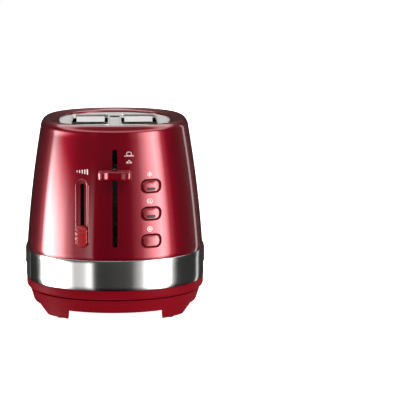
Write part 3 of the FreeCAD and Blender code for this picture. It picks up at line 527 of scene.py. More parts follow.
@dataclass(frozen=True)
class Skin:
    """The housing's leaning, barrel-curved outer surface and the plan curve behind it."""

    half_width: float
    half_depth: float
    waist: float
    middle: float
    slope: float = 0.0653
    bulge: float = 0.42
    flatness: float = 2.8

    @classmethod
    def from_frame(cls) -> "Skin":
        """Take the waist's size and place from the housing's node."""
        low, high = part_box("outer_housing")
        return cls((high[0] - low[0]) / 2, (high[1] - low[1]) / 2, low[2], (high[1] + low[1]) / 2)

    def lean(self, height: float) -> float:
        """How far the wall has leaned in at a height."""
        rise = max(0.0, height - self.waist)
        return self.slope * rise + self.bulge * rise * rise

    def parameters(self, count: int) -> np.ndarray:
        """Plan parameters that divide the waist evenly."""
        fine = np.linspace(0, 2 * math.pi, 20001)
        x, y = self.plan(fine, 0.0)
        run = np.concatenate([[0.0], np.cumsum(np.hypot(np.diff(x), np.diff(y)))])
        return np.interp(np.arange(count) * run[-1] / count, run, fine)

    def plan(self, angles: np.ndarray, inset: float) -> Outline:
        """Plan curve moved inwards by an inset.

        Args:
            angles: Plan parameters.
            inset: Distance inwards from the waist curve.

        Returns:
            X and Y of the points.
        """
        power = 2 / self.flatness
        sine = np.sin(angles)
        x = (self.half_width - inset) * np.cos(angles)
        y = (self.half_depth - inset) * np.sign(sine) * np.abs(sine) ** power
        return x, y + self.middle

    def sweep(self, profile: Sequence[Pair], count: int = RING_POINTS) -> np.ndarray:
        """Rings of points for a profile of insets and heights."""
        angles = self.parameters(count)
        return np.concatenate([level_ring(*self.plan(angles, inset), height) for inset, height in profile])

    def shell(self, section: Sequence[Pair], closed: bool = True) -> tuple[np.ndarray, Faces]:
        """Mesh of a section carried round the plan, with flat ends when it isn't closed."""
        count = len(section)
        if closed:
            return self.sweep(section), grid_faces(count, RING_POINTS, True, True)
        return self.sweep(section), capped_faces(count, RING_POINTS)

    def front(self, x: np.ndarray, height: np.ndarray, proud: np.ndarray | float = 0.0) -> np.ndarray:
        """Points on the front of the skin, moved out along its normal.

        Args:
            x: Distances from the centre line.
            height: Heights.
            proud: Distance outwards.

        Returns:
            One point per row.
        """
        x = np.asarray(x, float)
        height = np.asarray(height, float) + 0 * x
        rise = height - self.waist
        lean = self.slope * rise + self.bulge * rise * rise
        across = self.half_width - lean
        along = self.half_depth - lean
        power = 1 / self.flatness
        share = 1 - (x / across) ** 2
        y = -along * share ** power
        side = along * power * share ** (power - 1) * 2 * x / across ** 2
        up = (self.slope + 2 * self.bulge * rise) * (
            share ** power + along * power * share ** (power - 1) * 2 * x ** 2 / across ** 3
        )
        normal = np.column_stack([side, -np.ones_like(side), up])
        normal /= np.linalg.norm(normal, axis=1)[:, None]
        base = np.column_stack([x, y + self.middle, height])
        # Deep sides run straight in, so that a key can travel past its liner.
        proud = np.broadcast_to(np.asarray(proud, float), x.shape)
        near = np.maximum(proud, -0.3 * MM)
        base[:, 1] += near - proud
        return base + normal * near[:, None]

    def bead(self, centre: Pair, outline: Outline, profile: Sequence[Pair]) -> tuple[np.ndarray, Faces]:
        """Closed bead that follows an outline on the front of the skin.

        Args:
            centre: X and height of the outline's middle.
            outline: Points and normals of the outline.
            profile: Closed section, as distance outwards in the surface and height above it.

        Returns:
            Points and faces.
        """
        path, normals = outline
        rings = [self.about(centre, path + normals * out, proud) for out, proud in profile]
        return np.concatenate(rings), grid_faces(len(profile), len(path), True, True)

    def about(self, centre: Pair, place: np.ndarray, proud: np.ndarray | float) -> np.ndarray:
        """Points on the front, from places about a centre."""
        return self.front(place[:, 0] + centre[0], place[:, 1] + centre[1], proud)

    def cap(self, centre: Pair, outline: Outline, crown: float, edge: float, depth: float,
            relief: Callable[[np.ndarray], np.ndarray] | None = None) -> tuple[np.ndarray, Faces]:
        """Crowned cap whose face follows the skin.

        Args:
            centre: X and height of the cap's middle.
            outline: Points and normals of its outline.
            crown: Height of its middle above its shoulder.
            edge: Height of its shoulder above the skin.
            depth: How far its sides reach below the skin.
            relief: Extra height at local heights, or none.

        Returns:
            Points and faces of the closed cap.
        """
        path, _ = outline
        rounding, relief_fade = 0.10, 0.04
        shares = [1.0, 1.0, 0.985, 0.955, 0.91, 0.85, 0.77, 0.68, 0.58, 0.47, 0.36, 0.25, 0.14, 0.05]
        rings = []
        for index, share in enumerate(shares):
            place = path * share
            if index == 0:
                proud = np.full(len(path), -depth)
            else:
                dome = 1 - max(0.0, (share - 1 + rounding) / rounding) ** 2.2
                proud = np.full(len(path), edge - crown * 0.6 + crown * 0.6 * dome + crown * (1 - share ** 2))
                if relief is not None:
                    proud = proud + relief(place[:, 1]) * min(1.0, (1 - share) / relief_fade)
            rings.append(self.about(centre, place, proud))
        return np.concatenate(rings), capped_faces(len(shares), len(path))


@dataclass
class Carver:
    """Cuts openings in a curved shell and keeps the shell's smooth shading beside them."""

    shell: bpy.types.Object
    guard_angle: float = 25.0
    same_place: float = 0.02 * MM

    def cut(self, cutters: Sequence[bpy.types.Object]) -> None:
        """Cut the shell with each cutter, and remove the cutters."""
        original = self.shell.data.copy()
        for cutter in cutters:
            modifier = self.shell.modifiers.new("Opening", "BOOLEAN")
            modifier.operation = "DIFFERENCE"
            modifier.solver = "EXACT"
            modifier.object = cutter
        graph = bpy.context.evaluated_depsgraph_get()
        result = bpy.data.meshes.new_from_object(self.shell.evaluated_get(graph))
        self.shell.modifiers.clear()
        self.shell.data = result
        for cutter in cutters:
            bpy.data.objects.remove(cutter)
        smooth(result, 32.0)
        self.restore(original, result)

    def restore(self, original: bpy.types.Mesh, result: bpy.types.Mesh) -> None:
        """Give the uncut surface the normals that it had before the cut.

        Args:
            original: The shell before cutting.
            result: The shell after cutting, whose normals are set.
        """
        corners = [tuple(v.co) for v in original.vertices]
        polygons = [tuple(p.vertices) for p in original.polygons]
        tree = BVHTree.FromPolygons(corners, polygons)
        vertex_normals = [Vector(v.normal) for v in original.vertices]
        limit = math.cos(math.radians(self.guard_angle))
        current = [Vector(n.vector) for n in result.corner_normals]
        for polygon in result.polygons:
            flat = polygon.normal
            for loop in polygon.loop_indices:
                spot = result.vertices[result.loops[loop].vertex_index].co
                _, _, index, distance = tree.find_nearest(spot)
                if distance > self.same_place:
                    continue
                blended = Vector((0, 0, 0))
                for vertex in polygons[index]:
                    blended += vertex_normals[vertex] / (1e-9 + (Vector(corners[vertex]) - spot).length)
                blended.normalize()
                if blended.dot(flat) > limit:
                    current[loop] = blended
        result.normals_split_custom_set([tuple(n) for n in current])


def block_solid(low: Sequence[float], high: Sequence[float]) -> bpy.types.Object:
    """Plain block between two corners, to cut with or to keep."""
    xs, ys, zs = zip(low, high)
    points = [(x, y, z) for z in zs for y in ys for x in xs]
    faces = [(0, 2, 3, 1), (4, 5, 7, 6), (0, 1, 5, 4), (2, 6, 7, 3), (0, 4, 6, 2), (1, 3, 7, 5)]
    return solid("cutter", points, faces)


def prism_cutter(centre: Pair, outline: Outline, near: float, far: float) -> bpy.types.Object:
    """Upright outline extruded along Y, used only as a cutter."""
    path, _ = outline
    rings = []
    for y in (near, far):
        rings.append(np.column_stack([path[:, 0] + centre[0], np.full(len(path), y), path[:, 1] + centre[1]]))
    return solid("cutter", np.concatenate(rings), capped_faces(2, len(path)))


def wedge_cutter(corners: Sequence[Pair], reach: float) -> bpy.types.Object:
    """Polygon of Y and Z corners extruded to both sides along X, used only as a cutter."""
    points = [(x, y, z) for x in (-reach, reach) for y, z in corners]
    return solid("cutter", points, capped_faces(2, len(corners)))


def middle_of(node: str) -> Triple:
    """Middle of a node's box."""
    low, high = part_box(node)
    return tuple((a + b) / 2 for a, b in zip(low, high))


def front_face(node: str) -> tuple[Pair, float, float]:
    """Centre, width and height of a node's box, seen from the front."""
    (x, _, z), (wide, _, tall) = middle_of(node), span_of(node)
    return (x, z), wide, tall


def span_of(node: str) -> Triple:
    """Size of a node's box."""
    low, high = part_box(node)
    return tuple(b - a for a, b in zip(low, high))


# ------------------------------------------------------------------ shell


@dataclass
class HousingShell:
    """Lacquered steel shell with its rolled shoulder, sloping rim and control openings."""

    skin: Skin
    shoulder: float = 8.5 * MM
    wall: float = 1.2 * MM
    rim_drop: float = 2.3 * MM
    rim_hole_inset: float = 34.9 * MM
    lever_slot: Triple = (5.0 * MM, 78.0 * MM, 176.2 * MM)
    slider_slot: Pair = (8.0 * MM, 3.99 * MM)
    slider_margin: float = 6 * MM
    cut_depth: float = 50 * MM
    cut_margin: float = 20 * MM
    edge: float = 0.5 * MM
    deck_cover: float = 1.4 * MM
    rows: int = 26

    def profile(self) -> list[Pair]:
        """Closed section of the shell, from the foot of the wall round to the inside."""
        skin = self.skin
        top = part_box("outer_housing")[1][2]
        start = top - self.shoulder
        edge = self.edge
        section = [(edge * 0.6, skin.waist + 0.01 * MM), (0.0, skin.waist + edge)]
        for row in range(1, self.rows + 1):
            height = skin.waist + edge + (start - skin.waist - edge) * row / self.rows
            section.append((skin.lean(height), height))
        inset = skin.lean(start)
        section += arc((inset + self.shoulder, start), self.shoulder, 180.0, 90.0, 10)[1:]
        hole = self.rim_hole_inset
        ledge = top - self.rim_drop
        section += [
            (inset + self.shoulder + 0.8 * MM, top - 0.1 * MM),
            (hole - 1.6 * MM, ledge + 0.25 * MM),
            (hole - 0.5 * MM, ledge - 0.05 * MM),
            (hole, ledge - 0.5 * MM),
            (hole, ledge - 2.1 * MM),
            (hole - 1.2 * MM, ledge - 2.3 * MM),
        ]
        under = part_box("top_deck")[1][2] - self.deck_cover
        section.append((skin.lean(under) + self.wall, under))
        for row in range(self.rows - 1, -1, -2):
            height = skin.waist + (under - skin.waist) * row / self.rows
            section.append((skin.lean(height) + self.wall, height))
        return section

    def cutters(self) -> list[bpy.types.Object]:
        """Openings for the lever, the slider and the buttons."""
        front = self.skin.middle - self.skin.half_depth
        near, far = front - self.cut_margin, front + self.cut_depth
        width, low, high = self.lever_slot
        slots = [((0.0, (low + high) / 2), rounded_outline(width, high - low, width / 2 - 0.01 * MM, 6))]
        centre, _, tall = front_face("slider_surround")
        wide, corner = self.slider_slot
        slots.append((centre, rounded_outline(wide, tall - self.slider_margin, corner, 6)))
        for word in BUTTONS:
            slots.append((front_face(f"{word}_button")[0], rounded_outline(*BUTTON_HOLE, 8)))
        return [prism_cutter(centre, outline, near, far) for centre, outline in slots]

    def build(self) -> None:
        """Make the shell and cut its openings."""
        Piece(
            "housing_shell", *self.skin.shell(self.profile()), Finishes.BODY_LACQUER, "red_lacquer",
            stands_for=("outer_housing",),
        ).place(self.cutters())


@dataclass
class TopDeck:
    """Satin steel deck: a plate with two slots, each with a rolled lip and folded ends."""

    skin: Skin
    sheet: float = 1.0 * MM
    slot_width: float = 38.0 * MM
    slot_length: float = 138.0 * MM
    slot_offset: float = 26.2 * MM
    corner: float = 4.0 * MM
    lip: float = 1.5 * MM
    wall: float = 0.7 * MM
    flange_drop: float = 7.0 * MM
    lead_in: float = 2.6 * MM
    edge_gap: float = 2.6 * MM
    flange_margin: float = 3.5 * MM
    bend: float = 1.6 * MM
    notch: Triple = (10.4 * MM, 42.0 * MM, 67.0 * MM)
    notch_corner: float = 3.0 * MM

    def slot_rings(self, side: int, section: Sequence[Pair]) -> np.ndarray:
        """Rings round one slot for a section of distances outwards and heights."""
        path, normals = rounded_outline(self.slot_width, self.slot_length, self.corner, 8)
        rings = []
        for out, height in section:
            x, y = (path + normals * out).T
            rings.append(level_ring(x + side * self.slot_offset, y + self.skin.middle, height))
        return np.concatenate(rings)

    def lip_piece(self, side: int, word: str, top: float) -> Piece:
        """Rolled lip with its short inner wall."""
        roll = arc((self.lip / 2, top + self.lip / 2), self.lip / 2, 200.0, -20.0, 12)
        section = [(0.0, top - 3 * MM)] + roll + [(self.lip + 0.6 * MM, top + 0.05 * MM)]
        section += [(self.lip + 0.6 * MM, top - self.sheet), (self.wall, top - self.sheet)]
        section.append((self.wall, top - 3 * MM))
        points = self.slot_rings(side, section)
        count = len(points) // len(section)
        return Piece(
            f"slot_lip_{word}", points, grid_faces(len(section), count, True, True),
            Finishes.SATIN_STEEL, "deck_steel",
        )

    def flange_piece(self, side: int, end: int, name: str, top: float) -> Piece:
        """Folded flange at one end of a slot, with its bend."""
        half = self.slot_width / 2 - self.flange_margin
        inner, bend = self.slot_length / 2, self.bend
        low = (inner - self.lead_in, top - self.flange_drop)
        section = [(inner + 3.0 * MM, top - 0.1 * MM)]
        section += [(inner + bend - a, b) for a, b in arc((0, top - 0.1 * MM - bend), bend, 90.0, 20.0, 6)]
        section += [low, (low[0] + 0.8 * MM, low[1])]
        section += [(inner + bend, top - 1.9 * MM), (inner + 3.0 * MM, top - 0.9 * MM)]
        middle = side * self.slot_offset
        points = np.array([
            (x + middle, end * y + self.skin.middle, z) for x in (-half, half) for y, z in section
        ])
        return Piece(name, points, capped_faces(2, len(section)), Finishes.SATIN_STEEL, "deck_steel")

    def plate_piece(self, top: float) -> Piece:
        """Plate with two slots, as flat rings between the slots and the outline."""
        work = bmesh.new()
        loops = [self.skin.sweep([(self.skin.lean(top) + self.edge_gap, top)])]
        for side, _ in SIDES:
            loops.append(self.slot_rings(side, [(self.wall, top)]))
        wide, start, end = self.notch
        path, _ = rounded_outline(wide, end - start, self.notch_corner, 6)
        loops.append(level_ring(path[:, 0], path[:, 1] + self.skin.middle + (start + end) / 2, top))
        edges = []
        for loop in loops:
            verts = [work.verts.new(point) for point in loop]
            edges += [work.edges.new((a, b)) for a, b in zip(verts, verts[1:] + verts[:1])]
        bmesh.ops.triangle_fill(work, edges=edges, use_beauty=True, use_dissolve=False)
        work.verts.index_update()
        upper = np.array([v.co for v in work.verts])
        tops = [tuple(v.index for v in f.verts) for f in work.faces]
        rims = [tuple(v.index for v in e.verts) for e in work.edges if len(e.link_faces) == 1]
        work.free()
        count = len(upper)
        lower = upper - np.array([0, 0, self.sheet])
        faces = tops + [tuple(i + count for i in reversed(face)) for face in tops]
        faces += [(a, b, b + count, a + count) for a, b in rims]
        return Piece(
            "deck_plate", np.concatenate([upper, lower]), faces, Finishes.SATIN_STEEL, "deck_steel",
            stands_for=("top_deck",),
        )

    def build(self) -> None:
        """Make the plate, the lips and the flanges."""
        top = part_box("top_deck")[1][2] - self.lip
        self.plate_piece(top).place()
        for side, word in SIDES:
            self.lip_piece(side, word, top).place()
            for end, place in ((-1, "front"), (1, "rear")):
                self.flange_piece(side, end, f"slot_flange_{word}_{place}", top).place()


@dataclass
class WaistBand:
    """Brushed band with turned edges, and the finger grips on its flanks."""

    skin: Skin
    sheet: float = 1.0 * MM
    proud: float = 0.4 * MM
    edge: float = 0.35 * MM
    rows: int = 6
    tray_gap: float = 0.4 * MM
    play: float = 0.02 * MM
    panel_round: float = 0.6 * MM
    panel_sunk: float = 1.0 * MM

    def build(self) -> None:
        """Make the band, open at the rear for the crumb tray."""
        low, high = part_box("steel_band")
        bottom, top = low[2] + self.play, high[2] - self.play
        out, edge, rows = -self.proud, self.edge, self.rows
        section = [(out + edge, bottom), (out + edge * 0.3, bottom + edge * 0.3)]
        section += [(out, bottom + edge + (top - bottom - 2 * edge) * i / rows) for i in range(rows + 1)]
        section += [(out + edge * 0.3, top - edge * 0.3), (out + edge, top), (out + self.sheet, top)]
        section.append((out + self.sheet, bottom))
        half = span_of("crumb_tray_handle")[0] / 2 + self.tray_gap
        fascia_low, fascia_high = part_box("crumb_tray_handle")
        cutter = block_solid(
            (-half, self.skin.middle + 60 * MM, fascia_low[2] - self.tray_gap),
            (half, self.skin.middle + 160 * MM, fascia_high[2] + self.tray_gap),
        )
        Piece(
            "waist_band", *self.skin.shell(section), Finishes.WAIST_STEEL, "band_steel",
            stands_for=("steel_band",),
        ).place([cutter])
        for side, word in SIDES:
            self.panel(side, word, "side_grip", Finishes.BLACK_ABS, "black_plastic", 2.5 * MM)
            self.panel(side, word, "lifting_lip", Finishes.MOULDED_LACQUER, "red_moulding", 5.0 * MM)

    def panel(self, side: int, word: str, kind: str, finish: Finishes, slot: str, corner: float) -> None:
        """Soft-edged panel that follows the band's flank.

        Args:
            side: -1 for the left flank and 1 for the right.
            word: Name of the side.
            kind: Node name without the side.
            finish: Finish of the panel.
            slot: Name of a material slot; not used.
            corner: Radius of the panel's corners.
        """
        low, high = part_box(f"{kind}_{word}")
        outer = max(abs(low[0]), abs(high[0])) - self.skin.half_width - self.play
        path, _ = rounded_outline(high[1] - low[1], high[2] - low[2], corner, 8)
        centre = (low[2] + high[2]) / 2
        shares = [1.0, 1.0, 0.99, 0.97, 0.94, 0.88, 0.8, 0.65, 0.45, 0.25, 0.05]
        rings = []
        for index, share in enumerate(shares):
            place = path * share
            edge = min(1.0, (1 - share) / 0.05)
            proud = outer - (self.panel_round * (1 - edge) ** 2 if index else self.panel_sunk)
            reach = (1 - np.abs(place[:, 0] / (self.skin.half_depth + proud)) ** self.skin.flatness) ** 0.5
            rings.append(np.column_stack([
                side * (self.skin.half_width + proud) * reach, place[:, 0] + self.skin.middle,
                place[:, 1] + centre,
            ]))
        Piece(
            f"{kind}_panel_{word}", np.concatenate(rings), capped_faces(len(shares), len(path)), finish, slot,
            stands_for=(f"{kind}_{word}",),
        ).place()


@dataclass
class BaseMoulding:
    """Base in one moulding: proud ring, groove, skirt, floor and four legs."""

    skin: Skin
    ring_low: float = 24.3 * MM
    ring_radius: float = 2.6 * MM
    ring_proud: float = 0.6 * MM
    groove_depth: float = 4.2 * MM
    inner: float = 60.0 * MM
    steps: int = 12
    leg_inner: Pair = (48.0 * MM, 79.0 * MM)
    foot_inner: float = 95.0 * MM
    skirt_bottom: float = 10.2 * MM
    leg_bottom: float = 1.0 * MM
    floor_top: float = 14.0 * MM

    def profile(self) -> list[Pair]:
        """Section from under the legs, up the skirt and ring, and down the inside."""
        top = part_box("base")[1][2]
        ring_low, leg, radius = self.ring_low, self.leg_bottom, self.ring_radius
        section = [(self.inner, leg), (10.0 * MM, leg)]
        section += [(8.8 * MM, leg + 0.35 * MM), (8.3 * MM, leg + 1.3 * MM)]
        start, end = leg + 2.2 * MM, ring_low - 1.5 * MM
        for step in range(self.steps + 1):
            share = step / self.steps
            section.append((8.2 * MM - 5.8 * MM * share ** 1.2, start + (end - start) * share))
        section += [(2.8 * MM, ring_low - 0.95 * MM), (self.groove_depth, ring_low - 0.7 * MM)]
        section.append((self.groove_depth, ring_low + 0.1 * MM))
        section += arc((radius - self.ring_proud, ring_low + radius), radius, 262.0, 180.0, 8)
        section += [(-self.ring_proud, top - 0.6 * MM), (-0.45 * MM, top - 0.15 * MM), (0.0, top)]
        section += [(3.0 * MM, top), (3.2 * MM, top - 5 * MM), (10.0 * MM, ring_low)]
        section += [(11.0 * MM, self.floor_top), (self.inner, self.floor_top)]
        return section

    def relief_cutters(self) -> list[bpy.types.Object]:
        """Cutters for the space between the legs, under the floor and round the cord inlet."""
        middle = self.skin.middle
        wide, long, bottom = 130 * MM, 180 * MM, -5 * MM
        leg_x, leg_y = self.leg_inner
        under = self.skirt_bottom + 0.003 * MM
        slant = (self.foot_inner - leg_y) / (self.skirt_bottom - self.leg_bottom)
        flare = slant * (self.leg_bottom - bottom)
        return [
            block_solid((-leg_x, middle - long, bottom), (leg_x, middle + long, self.skirt_bottom)),
            wedge_cutter([
                (middle - leg_y, under), (middle + leg_y, under),
                (middle + self.foot_inner + flare, bottom), (middle - self.foot_inner - flare, bottom),
            ], wide),
            prism_cutter(
                (0.0, middle_of("cord_inlet")[2]), rounded_outline(11.0 * MM, 11.0 * MM, 5.49 * MM, 8),
                middle + 131 * MM, middle + 158 * MM,
            ),
        ]

    def build(self) -> None:
        """Make the base and clear the space between its legs."""
        Piece(
            "base_moulding", *self.skin.shell(self.profile(), False), Finishes.DYED_ABS, "red_moulding",
            stands_for=("base",),
        ).place(self.relief_cutters())


# ------------------------------------------------------------------ controls


@dataclass
class LeverHandle:
    """Waisted bar with a hollow front between two bulged ends."""

    hollow: float = 2.6 * MM
    flat_share: float = 0.5
    end: float = 5.0 * MM
    squareness: float = 0.42
    play: float = 0.05 * MM
    proud: float = 0.35 * MM
    end_rounding: float = 2.2 * MM
    end_height: float = 0.78
    section_points: int = 44
    stations: int = 61

    def front_line(self, across: float, half: float, front: float) -> float:
        """Y of the front at a distance from the middle."""
        distance = abs(across)
        shoulder = half - self.end
        if distance <= shoulder:
            climb = max(0.0, distance / shoulder - self.flat_share) / (1 - self.flat_share)
            return front + self.hollow * 0.5 * (1 + math.cos(math.pi * climb))
        turn = (distance - shoulder) / self.end
        return front + self.end * (1 - math.sqrt(max(0.0, 1 - turn * turn)))

    def build(self) -> None:
        """Make the handle as sections along X."""
        low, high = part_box("lever_knob")
        half = (high[0] - low[0]) / 2 - self.play
        tall = (high[2] - low[2]) / 2 - self.play
        front, back = low[1] + self.proud, high[1]
        middle_z = (low[2] + high[2]) / 2
        rings = []
        for index in range(self.stations):
            across = -half * math.cos(math.pi * index / (self.stations - 1))
            near = self.front_line(across, half - 0.001 * MM, front)
            inwards = min(1.0, (half - abs(across)) / self.end_rounding)
            round_off = math.sqrt(max(0.0, 1 - (1 - inwards) ** 2))
            pinch = self.end_height + (1 - self.end_height) * round_off
            half_y = (back - near) / 2
            for step in range(self.section_points):
                angle = 2 * math.pi * step / self.section_points
                cosine, sine = math.cos(angle), math.sin(angle)
                y = (near + back) / 2 + half_y * math.copysign(abs(cosine) ** self.squareness, cosine)
                z = middle_z + tall * pinch * math.copysign(abs(sine) ** self.squareness, sine)
                rings.append((across, y, z))
        Piece(
            "lever_handle", np.array(rings), capped_faces(self.stations, self.section_points),
            Finishes.MOULDED_LACQUER, "red_moulding", "carriage", ("lever_knob",), crease=50.0,
        ).place()


@dataclass
class BrowningControl:
    """Raised surround of the slider, and its knob with three grip grooves."""

    skin: Skin
    groove_pitch: float = 5.0 * MM
    groove_depth: float = 0.9 * MM
    groove_half: float = 0.65 * MM
    slot: float = 3.8 * MM
    rim: float = 1.2 * MM
    stem: Triple = (0.9 * MM, 9 * MM, 4 * MM)
    dome: Triple = (2.4 * MM, 4.5 * MM, -2.0 * MM)

    def surround(self) -> None:
        """Raised rim round the slider's slot, with a flat floor inside."""
        centre, width, tall = front_face("slider_surround")
        slot, rim = self.slot, self.rim
        outline = rounded_outline(slot, tall - (width - slot), slot / 2 - 0.01 * MM, 12)
        reach = (width - slot) / 2
        profile = [
            (0.0, -2.0 * MM), (0.0, 0.15 * MM), (0.25 * MM, 0.4 * MM), (reach - 2.4 * MM, 0.45 * MM),
            (reach - 2.0 * MM, rim - 0.25 * MM), (reach - 1.6 * MM, rim - 0.02 * MM), (reach - 1.0 * MM, rim),
            (reach - 0.4 * MM, rim - 0.2 * MM), (reach - 0.08 * MM, rim - 0.65 * MM), (reach, 0.0),
            (reach, -0.3 * MM), (2.0 * MM, -0.35 * MM), (1.6 * MM, -2.0 * MM),
        ]
        Piece(
            "slider_rim", *self.skin.bead(centre, outline, profile), Finishes.MOULDED_LACQUER,
            "red_moulding", stands_for=("slider_surround",),
        ).place()

    def grooves(self, up: np.ndarray) -> np.ndarray:
        """Depth of the grip grooves at local heights."""
        total = np.zeros_like(up)
        for index in (-1, 0, 1):
            total -= self.groove_depth * np.exp(-((up - index * self.groove_pitch) / self.groove_half) ** 2)
        return total

    def knob(self) -> None:
        """Crowned knob that stands on the surround."""
        centre, width, tall = front_face("browning_knob")
        outline = rounded_outline(width, tall, width / 2 - 0.01 * MM, 14)
        Piece(
            "browning_cap", *self.skin.cap(centre, outline, *self.dome, self.grooves),
            Finishes.KNOB_ABS, "red_moulding", "browning_control", ("browning_knob",), crease=60.0,
        ).place()
        x, z = centre
        near = self.skin.front(np.array([x]), np.array([z]), 3.0 * MM)[0][1]
        wide, deep, tall = self.stem
        stem = block_solid((x - wide, near, z - tall), (x + wide, near + deep, z + tall))
        stem.name = "browning_stem"
        stem.data.materials.append(Finishes.BLACK_ABS.material)
        join(stem, "browning_control", "component_black")

    def build(self) -> None:
        """Make the whole control."""
        self.surround()
        self.knob()


@dataclass
class PushButtons:
    """Three crowned caps in dark surrounds; the upper two carry a small lens."""

    skin: Skin
    clear: float = 0.45 * MM
    liner_corner: float = 5.3 * MM
    cap_corner: float = 4.9 * MM
    lens_corner: float = 1.35 * MM
    # Crown, height of the shoulder and depth of the sides.
    cap_dome: Triple = (0.55 * MM, 0.4 * MM, 5.0 * MM)
    lens_dome: Triple = (0.06 * MM, 0.95 * MM, 0.5 * MM)

    def crowned(self, name: str, node: str, corner: float, steps: int, dome: Triple,
                finish: Finishes, slot: str, body: str) -> None:
        """Place one crowned piece over a node.

        Args:
            name: Name of the piece.
            node: Node that it stands for.
            corner: Corner radius of its outline.
            steps: Steps in each corner.
            dome: Crown, height of the shoulder and depth of the sides.
            finish: Finish of the piece.
            slot: Name of a material slot; not used.
            body: Key that it rides.
        """
        centre, wide, tall = front_face(node)
        outline = rounded_outline(wide, tall, corner, steps)
        Piece(name, *self.skin.cap(centre, outline, *dome), finish, slot, body, (node,), crease=60.0).place()

    def surrounds(self) -> None:
        """Dark liner inside each hole, a step below the skin."""
        for index, word in enumerate(BUTTONS):
            centre, width, tall = front_face(f"{word}_button")
            width, tall = width + 2 * self.clear, tall + 2 * self.clear
            outline = rounded_outline(width, tall, self.liner_corner, 10)
            reach = (BUTTON_HOLE[0] - width) / 2 - 0.02 * MM
            profile = [
                (0.0, -4.5 * MM), (0.0, -1.3 * MM), (0.3 * MM, -1.0 * MM), (reach - 0.2 * MM, -1.0 * MM),
                (reach, -1.2 * MM), (reach, -4.5 * MM),
            ]
            Piece(
                f"{word}_liner", *self.skin.bead(centre, outline, profile), Finishes.DARK_NYLON,
                "black_plastic", stands_for=("button_surrounds",) if index == 0 else (),
            ).place()

    def build(self) -> None:
        """Make the caps, the lenses and the surrounds."""
        for word in BUTTONS:
            self.crowned(
                f"{word}_cap", f"{word}_button", self.cap_corner, 12, self.cap_dome,
                Finishes.MOULDED_LACQUER, "red_moulding", f"{word}_key",
            )
        for word in BUTTONS[:2]:
            self.crowned(
                f"{word}_lens", f"{word}_indicator_lens", self.lens_corner, 8, self.lens_dome,
                Finishes.SMOKED_LENS, "lens", f"{word}_key",
            )
        self.surrounds()


